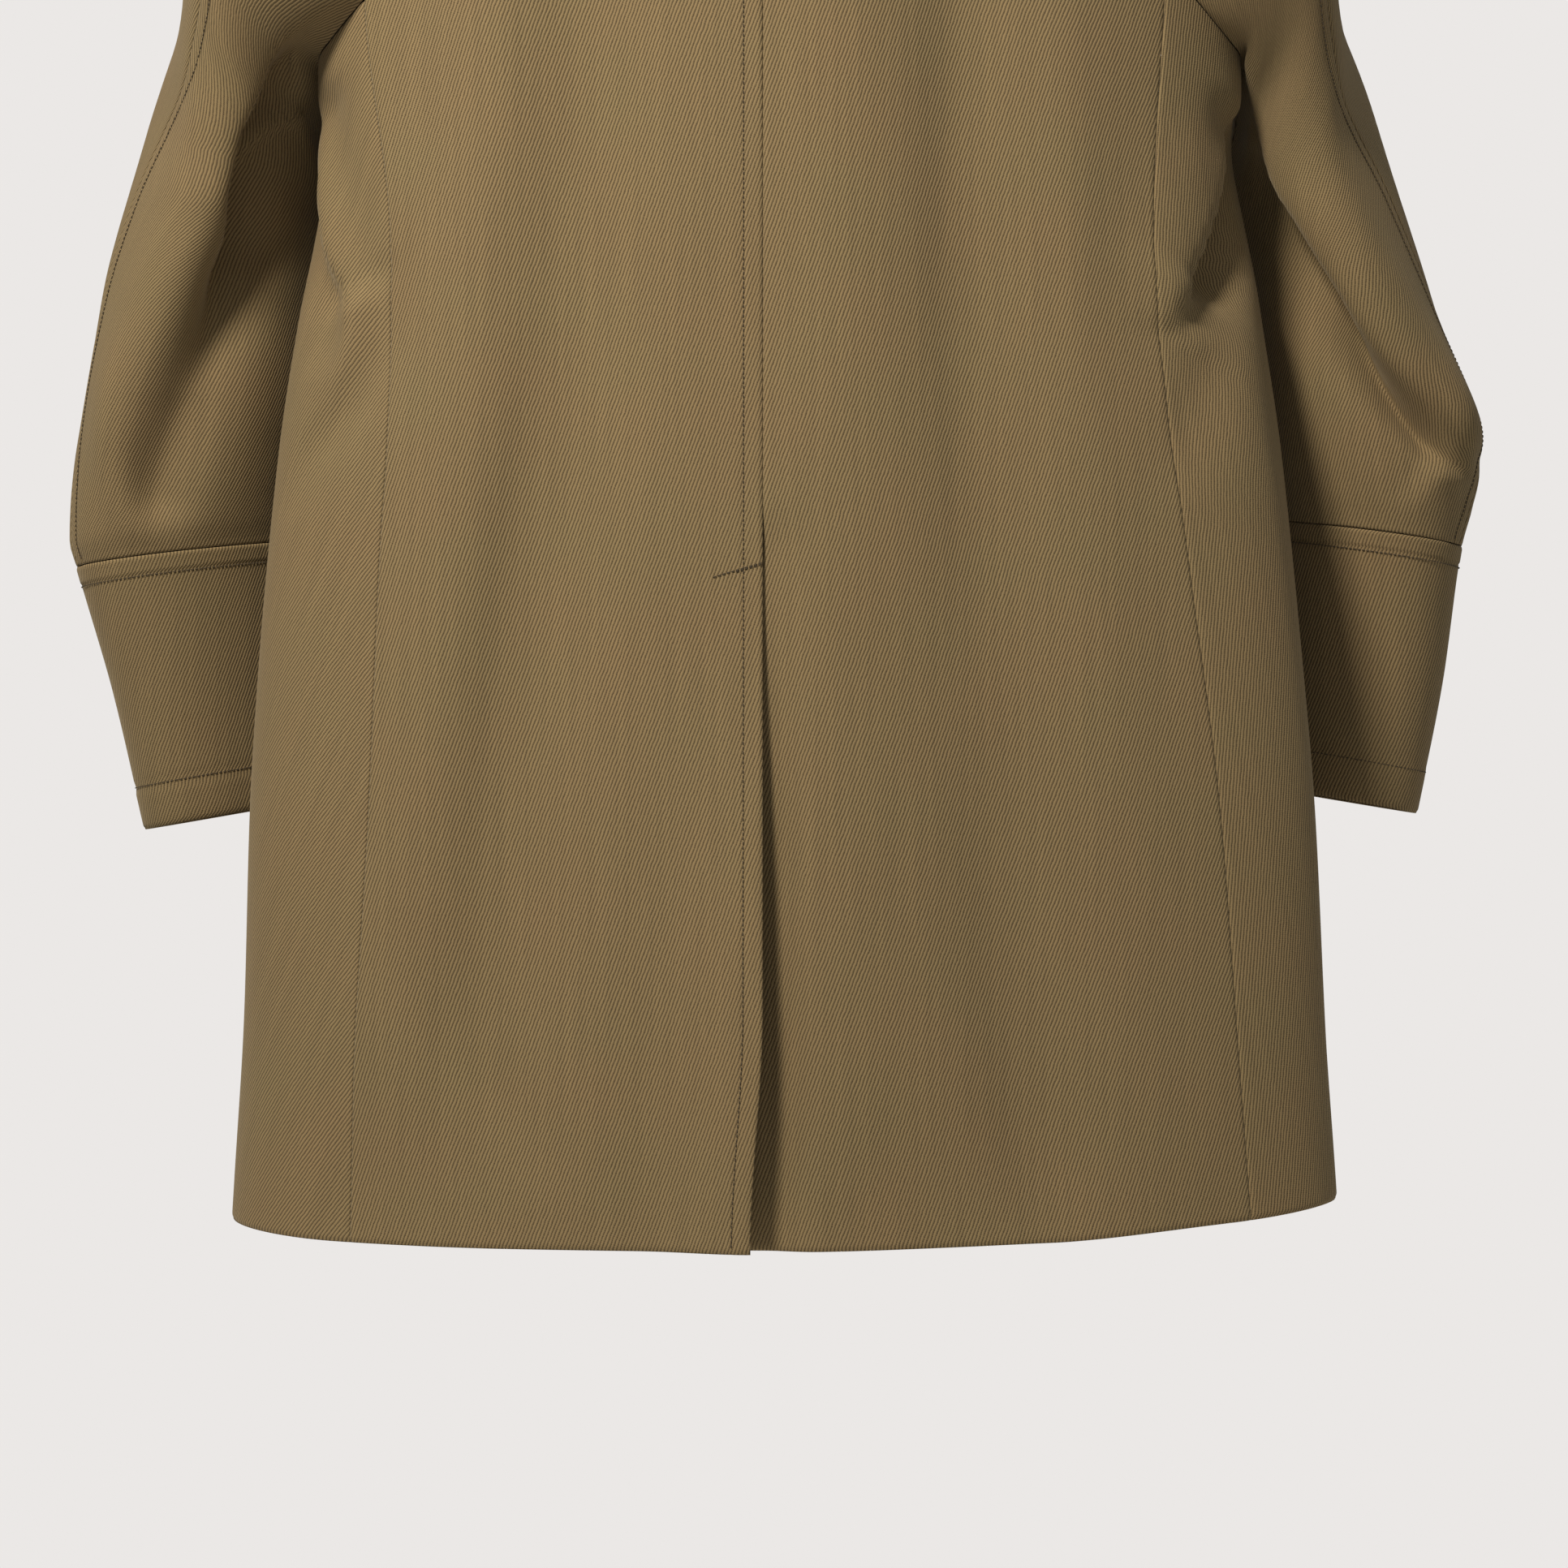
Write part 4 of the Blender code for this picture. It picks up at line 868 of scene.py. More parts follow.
def collar_surface(along, over):
    """Surface of the collar: over 0 to 1 is the stand, 1 to 2 the rounded crease, 2 to 3 the fall."""
    along, over = np.broadcast_arrays(along, over)
    reach, sign = np.abs(along), np.where(along < 0, -1.0, 1.0)
    foot = neckline(reach)
    edge = points(*(smooth(COLLAR, column, reach) for column in ("edge_x", "edge_y", "edge_z")))
    earlier = neckline(np.abs(reach - 0.05)) * points(np.where(reach < 0.05, -1.0, 1.0), 1.0, 1.0)
    run = unit((neckline(reach + 0.05) - earlier) * points(1.0, 1.0, ease((reach - 0.5) / 0.4)))
    outward = unit((edge - foot) * np.array([1.0, 1.0, 0.0]))
    outward = unit(outward - (outward * run).sum(-1, keepdims=True) * run)
    rise = np.cross(outward, run)
    rise = rise * np.where(rise @ np.array([0.0, 0.3, 1.0]) < 0, -1.0, 1.0)[..., None]
    stand = smooth(COLLAR, "stand", reach)[..., None]
    crease = foot + rise * stand - outward * smooth(COLLAR, "lean", reach)[..., None]
    upright = mix(foot, crease, np.clip(over, -0.2, 1.0)[..., None])
    angle = np.pi * np.clip(over - 1.0, 0.0, 1.0)[..., None]
    crown = outward * COLLAR_ROLL * (1.0 - np.cos(angle)) + rise * COLLAR_ROLL * np.sin(angle)
    fall_share = np.clip(over - 2.0, 0.0, None)[..., None]
    fall_start = crease + outward * 2.0 * COLLAR_ROLL
    belly = 0.008 * np.sin(np.pi * np.clip(fall_share, 0.0, 1.0))
    fall = (edge - fall_start) * fall_share + outward * belly
    return (upright + crown + fall) * points(sign, 1.0, 1.0)


def graded(length, coarse, near=0.014, far=0.006):
    """Shares from 0 to 1 of a length: millimetre steps beside both edges and coarse ones between."""
    first = np.arange(0.0, near - 0.0005, 0.001)
    last = length - np.arange(0.0, far - 0.0005, 0.001)[::-1]
    between = np.linspace(near, length - far, max(2, int((length - near - far) / coarse)), endpoint=False)
    return np.concatenate([first, between, last]) / length


def arc(grid, axis):
    """Way along one direction of a grid of points, from its first line."""
    step = np.linalg.norm(np.diff(grid, axis=axis), axis=-1)
    return np.concatenate([np.zeros_like(np.take(step, [0], axis)), np.cumsum(step, axis)], axis)


def turned(across, along, degrees):
    """Cloth coordinates turned on the grain by an angle."""
    cosine, sine = np.cos(np.radians(degrees)), np.sin(np.radians(degrees))
    return np.stack([across * cosine - along * sine, across * sine + along * cosine], axis=-1)


def body_weave(side, grid, degrees):
    """Cloth coordinates of a body panel: metres round it, folds included as far as the side, and height."""
    turn = np.mod(np.arctan2(side * grid[..., 0], -grid[..., 1]) + 1.0, 2.0 * np.pi) - 1.0
    girth = np.interp(turn, GIRTH_TURN, GIRTH_WAY)
    start = girth[:1] * smooth(BODY, "half_width", grid[:1, :, 2]) / MIDDLING_WIDTH
    way = arc(grid * np.array([1.0, 1.0, 0.0]), 0)
    step = np.where(turn[1:] < FRONT_TURN, np.diff(way, axis=0), np.diff(girth, axis=0))
    round_it = start + np.concatenate([np.zeros_like(start), np.cumsum(step, axis=0)])
    return turned(side * round_it, grid[..., 2], degrees)


def sleeve_weave(side, grid, degrees):
    """Cloth coordinates of a sleeve: metres round it from its first column, and down its middle column."""
    middle = arc(grid, 0)[:, grid.shape[1] // 2, None]
    return turned(side * arc(grid, 1), np.broadcast_to(-middle, grid.shape[:2]), degrees)


def plain_weave(grid):
    """Cloth coordinates of a small panel: metres along both directions of its grid."""
    return np.stack([arc(grid, 0), arc(grid, 1)], axis=-1)


def new_object(name, spots, faces, *materials):
    """Object of a new mesh in the scene."""
    mesh = bpy.data.meshes.new(name)
    mesh.from_pydata(spots, [], faces)
    for material in materials:
        mesh.materials.append(material)
    made = bpy.data.objects.new(name, mesh)
    bpy.context.scene.collection.objects.link(made)
    return made


def cloth_object(name, grid, weave, flip, material, thickness, keep=None, closed=False):
    """Shell of one panel: a grid of quads with its cloth coordinates as UV map, thickened inwards."""
    rows, columns = grid.shape[:2]
    spots = np.arange(rows * columns).reshape(rows, columns)
    number = spots.copy()
    if closed:
        number[:, -1] = number[:, 0]
    first, last = slice(0, -1), slice(1, None)
    corners = [(first, first), (last, first), (last, last), (first, last)]
    if flip:
        corners = corners[::-1]
    quads = np.stack([number[c] for c in corners], axis=-1)
    looks = np.stack([spots[c] for c in corners], axis=-1)
    chosen = np.ones(quads.shape[:2], bool) if keep is None else keep
    quads, looks = quads[chosen], looks[chosen]
    used, faces = np.unique(quads, return_inverse=True)
    made = new_object(name, grid.reshape(-1, 3)[used], faces.reshape(-1, 4).tolist(), material)
    layer = made.data.uv_layers.new(name="Cloth")
    layer.data.foreach_set("uv", weave.reshape(-1, 2)[looks].astype(np.float32).ravel())
    made.data.shade_smooth()
    solid = made.modifiers.new("Cloth thickness", "SOLIDIFY")
    solid.thickness = thickness
    solid.offset = -1.0
    return made


# What each panel is cut to, as it shows between its seams: greatest width and length, and area
Cut = namedtuple("Cut", "piece width length area hangs_from")


def settle(made, node, cut=None):
    """Puts a piece on the coat's one body in place of its solid; the cut it is given is not used."""
    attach(made, "root")
    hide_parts(node)
    return made


def measured(name, grid, hangs_from):
    """Cut of a panel measured on its own surface."""
    one, two = np.diff(grid, axis=0)[:, :-1], np.diff(grid, axis=1)[:-1]
    area = float(np.linalg.norm(np.cross(one, two), axis=-1).sum())
    return Cut(name, float(arc(grid, 0)[-1].max()), float(arc(grid, 1)[:, -1].max()), area, hangs_from)


def panel(node, grid, weave, flip, hangs_from, **shell):
    """One panel of the coat: its shell in place of its solid, with the cut measured on its own surface."""
    wool, cloth = bpy.data.materials["Brushed wool twill"], bpy.context.scene.coat_cloth
    made = cloth_object("coat_" + node, grid, weave, flip, wool, cloth.thickness, **shell)
    return settle(made, node, measured(made.name, grid, hangs_from))


def linear(colour):
    """An sRGB hex value as linear red, green and blue."""
    channel = np.array([int(colour[i:i + 2], 16) for i in (1, 3, 5)]) / 255.0
    curved = np.where(channel <= 0.04045, channel / 12.92, ((channel + 0.055) / 1.055) ** 2.4)
    return tuple(float(value) for value in curved)


def add(tree, kind, settings, sockets):
    """Adds a node to a tree, sets its properties, and fills its sockets with values or nodes' outputs."""
    node = tree.nodes.new(kind)
    for name, value in settings.items():
        setattr(node, name, value)
    for name, value in sockets.items():
        if isinstance(value, bpy.types.NodeSocket):
            tree.links.new(value, node.inputs[name])
        else:
            node.inputs[name].default_value = value
    return node


def noise(tree, vector, scale, detail, distortion=0.0):
    """Output of a noise texture."""
    sockets = {"Vector": vector, "Scale": scale, "Detail": detail, "Distortion": distortion}
    return add(tree, "ShaderNodeTexNoise", {}, sockets).outputs["Fac"]


def mapped(tree, vector, rotation=(0.0, 0.0, 0.0), scale=(1.0, 1.0, 1.0)):
    """Coordinates turned and stretched."""
    sockets = {"Vector": vector, "Rotation": rotation, "Scale": scale}
    return add(tree, "ShaderNodeMapping", {}, sockets).outputs["Vector"]


def ramped(tree, value, *stops):
    """Colour between two stops, each a position and a colour."""
    ramp = add(tree, "ShaderNodeValToRGB", {}, {"Fac": value})
    for element, (position, colour) in zip(ramp.color_ramp.elements, stops):
        element.position = position
        element.color = (*colour, 1.0)
    return ramp.outputs["Color"]


def started(name):
    """A new material with its tree and shader."""
    material = bpy.data.materials.new(name)
    material.use_nodes = True
    return material, material.node_tree, material.node_tree.nodes["Principled BSDF"]


def twill_material(cloth):
    """Brushed wool twill: steep ribs of light yarn over dark, heathered and streaked along the warp."""
    material, tree, shader = started("Brushed wool twill")
    uv = add(tree, "ShaderNodeUVMap", {"uv_map": "Cloth"}, {}).outputs["UV"]
    lean = np.pi / 2.0 - cloth.twill_angle
    across = mapped(tree, uv, rotation=(0.0, 0.0, lean))
    rib_scale = np.pi / 10.0 / cloth.twill_spacing
    rib = add(tree, "ShaderNodeTexWave", {"bands_direction": "X"}, {
        "Vector": across, "Scale": rib_scale,
        "Distortion": 1.6, "Detail": 2.0, "Detail Scale": 1.2}).outputs["Fac"]
    step = add(tree, "ShaderNodeTexWave", {"bands_direction": "Y"}, {
        "Vector": across, "Scale": rib_scale * 1.7, "Distortion": 3.0, "Detail": 1.0}).outputs["Fac"]
    fleck = noise(tree, uv, 900.0, 2.0)
    streak = noise(tree, mapped(tree, uv, scale=(260.0, 9.0, 1.0)), 1.0, 3.0)
    broad = noise(tree, uv, 14.0, 2.0)
    stepped = add(tree, "ShaderNodeMath", {"operation": "MULTIPLY_ADD"}, {
        0: step, 1: 0.22, 2: rib}).outputs["Value"]
    yarn = add(tree, "ShaderNodeMath", {"operation": "MULTIPLY_ADD"}, {
        0: fleck, 1: 0.5, 2: stepped}).outputs["Value"]
    ribbed = ramped(tree, yarn, (0.25, cloth.groove), (1.0, cloth.yarn))
    tone = add(tree, "ShaderNodeMapRange", {}, {
        "Value": streak, "From Min": 0.3, "From Max": 0.7, "To Min": 0.95, "To Max": 1.05}).outputs["Result"]
    shaded = add(tree, "ShaderNodeVectorMath", {"operation": "SCALE"}, {
        0: ribbed, "Scale": tone}).outputs["Vector"]
    tint = add(tree, "ShaderNodeMix", {"data_type": "RGBA"}, {
        0: broad, 6: (*cloth.olive_tint, 1.0), 7: (*cloth.brown_tint, 1.0)}).outputs[2]
    colour = add(tree, "ShaderNodeVectorMath", {"operation": "MULTIPLY"}, {
        0: shaded, 1: tint}).outputs["Vector"]
    bump = add(tree, "ShaderNodeBump", {}, {"Height": yarn, "Strength": 0.45, "Distance": 0.0005})
    tree.links.new(colour, shader.inputs["Base Color"])
    tree.links.new(bump.outputs["Normal"], shader.inputs["Normal"])
    shader.inputs["Roughness"].default_value = 0.88
    shader.inputs["Specular IOR Level"].default_value = 0.25
    shader.inputs["Sheen Weight"].default_value = 0.2
    shader.inputs["Sheen Roughness"].default_value = 0.45
    shader.inputs["Sheen Tint"].default_value = (*linear("#d8c7a4"), 1.0)
    return material


def thread_material(sewing):
    """Twisted sewing thread: dark, dull and faintly ridged along its twist; the dark is partly the thread's
    own colour and partly painted shade of the holes the stitches sink into.
    """
    material, tree, shader = started("Twisted polyester thread")
    place = add(tree, "ShaderNodeTexCoord", {}, {}).outputs["Object"]
    twist = noise(tree, place, 1800.0, 1.0)
    # thread colour, which holds painted shade of the stitch holes, mixed with a darker tone of itself by
    # noise
    shade = [0.6 * value for value in sewing.thread]
    colour = ramped(tree, twist, (0.3, shade), (0.7, sewing.thread))
    bump = add(tree, "ShaderNodeBump", {}, {"Height": twist, "Strength": 0.3, "Distance": 0.0001})
    tree.links.new(colour, shader.inputs["Base Color"])
    tree.links.new(bump.outputs["Normal"], shader.inputs["Normal"])
    shader.inputs["Roughness"].default_value = 0.7
    return material


def horn_material(sewing):
    """Polished horn: dark brown, paler streaks that run one way through the button, and a satin gloss."""
    material, tree, shader = started("Polished horn")
    place = add(tree, "ShaderNodeTexCoord", {}, {}).outputs["Object"]
    drawn = mapped(tree, place, rotation=(0.0, 0.6, 0.0), scale=(420.0, 60.0, 60.0))
    grain = noise(tree, drawn, 1.0, 4.0, distortion=0.8)
    colour = ramped(tree, grain, (0.35, sewing.horn), (0.75, linear("#6b4d30")))
    gloss = add(tree, "ShaderNodeMapRange", {}, {
        "Value": grain, "To Min": 0.26, "To Max": 0.42}).outputs["Result"]
    tree.links.new(colour, shader.inputs["Base Color"])
    tree.links.new(gloss, shader.inputs["Roughness"])
    shader.inputs["IOR"].default_value = 1.54
    return material


def stitch_places(surface, u, v, pitch, length, lift):
    """Middle, direction and outward side of each stitch, one every pitch on a line of two parameters."""
    path = surface(u, v)
    normal = surface_normal(surface, u, v)
    way = np.concatenate(([0.0], np.cumsum(np.linalg.norm(np.diff(path, axis=0), axis=-1))))
    middle = pitch * (np.arange(int(way[-1] / pitch)) + 0.5)

    def at(where, values):
        return np.stack([np.interp(where, way, values[:, axis]) for axis in range(3)], axis=-1)

    along = unit(at(middle + length / 2.0, path) - at(middle - length / 2.0, path))
    out = at(middle, normal)
    out = unit(out - (out * along).sum(-1, keepdims=True) * along)
    return at(middle, path) + out * lift, along, out


def stitch_object(name, rows, material, length, diameter):
    """Stitches as short thread bars: four rings of five points, bowed up in the middle, sunk at the ends."""
    middle, along, out = (np.concatenate(parts) for parts in zip(*rows))
    beside = np.cross(along, out)
    reach = np.array([-0.5, -0.32, 0.32, 0.5])[:, None] * length
    radius = np.array([0.35, 1.0, 1.0, 0.35])[:, None] * diameter / 2.0
    height = np.array([-0.5, 0.25, 0.25, -0.5])[:, None] * diameter
    angle = np.arange(5) * 2.0 * np.pi / 5.0
    run, up, wide = reach + 0.0 * angle, height + radius * np.sin(angle), radius * np.cos(angle)
    spots = (
        middle[:, None, None] + run[None, ..., None] * along[:, None, None]
        + up[None, ..., None] * out[:, None, None] + wide[None, ..., None] * beside[:, None, None]
    )
    ring = np.arange(5)
    after = (ring + 1) % 5
    band = np.stack([ring, after, after + 5, ring + 5], -1)
    quads = np.concatenate([band + 5 * k for k in range(3)])
    first = 20 * np.arange(len(middle))[:, None, None]
    sides = (quads[None] + first).reshape(-1, 4).tolist()
    ends = np.stack([ring[::-1], ring + 15])[None] + first
    made = new_object(name, spots.reshape(-1, 3), sides + ends.reshape(-1, 5).tolist(), material)
    made.data.shade_smooth()
    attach(made, "root")
    return made


class CoatCloth(bpy.types.PropertyGroup):
    """Sizes and colours of the cloth."""

    thickness: bpy.props.FloatProperty(
        name="Thickness", description="Thickness of the coating", default=0.002, min=0.001, max=0.003,
        precision=4, unit="LENGTH")
    grid: bpy.props.FloatProperty(
        name="Grid", description="Distance between the points of a panel", default=0.0045, min=0.002,
        precision=4, unit="LENGTH")
    twill_spacing: bpy.props.FloatProperty(
        name="Rib spacing", description="Distance between two ribs of the twill", default=0.0019,
        precision=4, unit="LENGTH")
    twill_angle: bpy.props.FloatProperty(
        name="Rib angle", description="Angle of the ribs to the weft", default=float(np.radians(69.0)),
        subtype="ANGLE")
    groove: bpy.props.FloatVectorProperty(
        name="Groove", description="Colour between the ribs", default=linear("#3f3320"), subtype="COLOR",
        min=0.0, max=1.0)
    yarn: bpy.props.FloatVectorProperty(
        name="Yarn", description="Colour of the ribs", default=linear("#836f4d"), subtype="COLOR",
        min=0.0, max=1.0)
    olive_tint: bpy.props.FloatVectorProperty(
        name="Olive tint", description="Tint of the greener patches", default=(0.96, 1.02, 0.98),
        subtype="COLOR", min=0.0, max=2.0)
    brown_tint: bpy.props.FloatVectorProperty(
        name="Brown tint", description="Tint of the browner patches", default=(1.05, 0.99, 0.98),
        subtype="COLOR", min=0.0, max=2.0)


class CoatSewing(bpy.types.PropertyGroup):
    """Sizes and colours of the stitches and buttons."""

    pitch: bpy.props.FloatProperty(
        name="Stitch pitch", description="Distance from stitch to stitch", default=0.0026, precision=4,
        unit="LENGTH")
    length: bpy.props.FloatProperty(
        name="Stitch length", description="Length of thread that shows", default=0.0020, precision=4,
        unit="LENGTH")
    diameter: bpy.props.FloatProperty(
        name="Thread", description="Diameter of the thread", default=0.0006, precision=4, unit="LENGTH")
    # Thread colour: partly the thread's own colour and partly painted shade, darkened for the shadow in the
    # holes the stitches sink into
    thread: bpy.props.FloatVectorProperty(
        name="Thread colour", description="Colour of the sewing thread", default=linear("#42351f"),
        subtype="COLOR", min=0.0, max=1.0)
    horn: bpy.props.FloatVectorProperty(
        name="Button colour", description="Darkest colour of the horn", default=linear("#2a1c12"),
        subtype="COLOR", min=0.0, max=1.0)


class CoatStage(bpy.types.PropertyGroup):
    """Floor, light and camera."""

    floor_z: bpy.props.FloatProperty(
        name="Floor height", description="Height of the floor below the shoulders", default=-1.43,
        unit="LENGTH")
    floor: bpy.props.FloatVectorProperty(
        name="Floor colour", description="Colour of the pale floor", default=linear("#efedea"),
        subtype="COLOR", min=0.0, max=1.0)
    backdrop: bpy.props.FloatVectorProperty(
        name="Backdrop", description="Colour behind the coat", default=linear("#ebe8e6"), subtype="COLOR",
        min=0.0, max=1.0)
    ambient: bpy.props.FloatProperty(
        name="Ambient", description="Strength of the light from all round", default=0.34)
    key: bpy.props.FloatProperty(
        name="Key light", description="Power of the soft light from the upper left", default=64.0,
        unit="POWER")


class COAT_OT_body(bpy.types.Operator):
    """Builds the two backs and the two fronts"""

    bl_idname = "coat.body"
    bl_label = "Backs and fronts"

    def execute(self, context):
        cloth = context.scene.coat_cloth
        twill_material(cloth)
        up = graded(BODY_LENGTH, cloth.grid, 0.006, 0.004)
        for side in (LEFT, RIGHT):
            word = side_name(side)
            across = graded(0.235, cloth.grid)
            keep = None
            if side == RIGHT:
                share = VENT_UNDERLAP / (SIDE_BACK_SEAM[0].right - CENTRE_BACK_X)
                across = np.concatenate([np.linspace(-share, 0.0, 13)[:-1], across])
                vent = (VENT_TOP_Z - HEM_Z) / BODY_LENGTH
                keep = (across[1:, None] > 0.0) | (up[None, 1:] < vent)
            grid = back_panel(side)(*np.meshgrid(across, up, indexing="ij"))
            weave = body_weave(side, grid, 0.0)
            panel("back_" + word, grid, weave, side == LEFT, ["coat_sleeve_" + word + "_back"], keep=keep)
            around = graded(0.50, cloth.grid, 0.006, 0.006)
            grid = front_panel(side)(*np.meshgrid(around, up, indexing="ij"))
            grain = 20.0 if side == LEFT else -15.0
            weave = body_weave(side, grid, grain)
            panel("front_" + word, grid, weave, side == LEFT, ["coat_sleeve_" + word + "_front"])
        return {"FINISHED"}


class COAT_OT_sleeves(bpy.types.Operator):
    """Builds the two halves of each sleeve and the deep cuffs"""

    bl_idname = "coat.sleeves"
    bl_label = "Sleeves and cuffs"

    def execute(self, context):
        cloth = context.scene.coat_cloth
        stations = CUFF_STATION * graded(0.66, cloth.grid, 0.003, 0.006)
        cuff_stations = mix(CUFF_STATION + 0.0012, CUFF_END, graded(0.155, cloth.grid, 0.016, 0.004))
        for side in (LEFT, RIGHT):
            word = side_name(side)
            grain = 4.0 if side == LEFT else 0.0
            behind = 0.0025 + 0.995 * (1.0 - graded(0.20, cloth.grid, 0.012, 0.004)[::-1])
            before = 1.0025 + 0.995 * graded(0.22, cloth.grid, 0.006, 0.004)
            for half, places in (("back", behind), ("front", before)):
                grid = sleeve(side)(*np.meshgrid(stations, places, indexing="ij"))
                weave = sleeve_weave(side, grid, grain)
                panel("sleeve_" + word + "_" + half, grid, weave, side == LEFT, ["coat_collar"])
            ring = np.linspace(0.0, 2.0, 81)
            grid = sleeve(side)(*np.meshgrid(cuff_stations, ring, indexing="ij"))
            weave = sleeve_weave(side, grid, grain)
            panel("cuff_" + word, grid, weave, side == LEFT, ["coat_sleeve_" + word + "_back"], closed=True)
        return {"FINISHED"}


class COAT_OT_collar(bpy.types.Operator):
    """Builds the collar and the two lapels"""

    bl_idname = "coat.collar"
    bl_label = "Collar and lapels"

    def execute(self, context):
        cloth = context.scene.coat_cloth
        along = np.linspace(-1.0, 1.0, 161)
        over = np.concatenate([np.linspace(0.0, 1.0, 9)[:-1], np.linspace(1.0, 2.0, 11)[:-1],
                               2.0 + graded(0.09, cloth.grid, 0.004, 0.006)])
        grid = collar_surface(*np.meshgrid(along, over, indexing="ij"))
        panel("collar", grid, plain_weave(grid), True, ["coat_back_left", "coat_back_right"])
        for side in (LEFT, RIGHT):
            word = side_name(side)
            share = np.linspace(0.0, 0.86, 70)
            width = graded(0.09, cloth.grid, 0.004, 0.006)
            grid = lapel_panel(side)(*np.meshgrid(share, width, indexing="ij"))
            panel("lapel_" + word, grid, plain_weave(grid), side == LEFT, ["coat_front_" + word])
        return {"FINISHED"}


class COAT_OT_buttons(bpy.types.Operator):
    """Builds the six sewn-on horn buttons"""

    bl_idname = "coat.buttons"
    bl_label = "Buttons"

    def execute(self, context):
        sewing = context.scene.coat_sewing
        horn, thread = horn_material(sewing), thread_material(sewing)
        spots = [(z, x) for z in BUTTON_ROWS_Z for x in (-BUTTON_COLUMN_X, BUTTON_COLUMN_X)]
        for number, (z, x) in enumerate(spots):
            node = "button_" + str(number + 1)
            made = button_object("coat_" + node, x, z, horn, thread)
            settle(made, node)
        return {"FINISHED"}


def button_object(name, x, z, horn, thread):
    """A turned button: its profile's radius and height carried round its axis, thread across four holes."""
    turn = float(np.mod(turn_at(-x, z, "front"), 2.0 * np.pi))
    layer = float(front_layer(LEFT, -x, 1.0))
    foot = body(LEFT, turn, z, layer + 0.0006)
    ahead = unit(body(LEFT, turn, z, layer + 0.01) - body(LEFT, turn, z, layer))
    beside = unit(np.cross([0.0, 0.0, 1.0], ahead))
    upward = np.cross(ahead, beside)
    r, t = BUTTON_RADIUS, BUTTON_THICK
    profile = np.array([
        (0.0, 0.60 * t), (0.30 * r, 0.60 * t), (0.58 * r, 0.64 * t), (0.66 * r, 0.74 * t),
        (0.72 * r, 0.92 * t), (0.79 * r, t), (0.88 * r, 0.99 * t), (0.95 * r, 0.88 * t), (r, 0.62 * t),
        (0.985 * r, 0.40 * t), (0.94 * r, 0.20 * t), (0.80 * r, 0.04 * t), (0.60 * r, 0.0), (0.0, 0.0)])
    angle = np.linspace(0.0, 2.0 * np.pi, 49)[:-1]
    round_axis = np.cos(angle)[:, None] * beside + np.sin(angle)[:, None] * upward
    spots = foot + profile[:, 0, None, None] * round_axis + profile[:, 1, None, None] * ahead
    number = np.arange(len(profile) * 48).reshape(-1, 48)
    after = np.roll(number, -1, axis=1)
    quads = np.stack([number[:-1], number[1:], after[1:], after[:-1]], -1).reshape(-1, 4)
    thread_spots, thread_quads = button_thread(foot + 0.60 * t * ahead, beside, upward, ahead)
    joined = np.concatenate([spots.reshape(-1, 3), thread_spots])
    faces = np.concatenate([quads, thread_quads + number.size]).tolist()
    made = new_object(name, joined, faces, horn, thread)
    slots = np.repeat([0, 1], [len(quads), len(thread_quads)])
    made.data.polygons.foreach_set("material_index", slots.astype(np.int32))
    made.data.shade_smooth()
    weld = made.modifiers.new("Middle closed", "WELD")
    weld.merge_threshold = 0.00001
    return made


def button_thread(middle, beside, upward, ahead):
    """Two crossed bundles of thread over the middle of a button: half hoops of round section."""
    arch = np.linspace(0.0, np.pi, 11)
    angle = np.arange(8) * np.pi / 4.0
    spots, quads = [], []
    ring = np.arange(8)
    after = (ring + 1) % 8
    band = np.stack([ring, after, after + 8, ring + 8], -1)
    band = (band[None] + 8 * np.arange(10)[:, None, None]).reshape(-1, 4)
    for k, heading in enumerate((unit(beside + upward), unit(beside - upward))):
        aside = np.cross(ahead, heading)
        centre = middle - 0.0026 * np.cos(arch)[:, None] * heading + 0.0010 * np.sin(arch)[:, None] * ahead
        outward = -np.cos(arch)[:, None] * heading + np.sin(arch)[:, None] * ahead
        tube = centre[:, None] + 0.0007 * (
            np.cos(angle)[None, :, None] * outward[:, None] + np.sin(angle)[None, :, None] * aside)
        spots.append(tube.reshape(-1, 3))
        quads.append(band + 88 * k)
    return np.concatenate(spots), np.concatenate(quads)


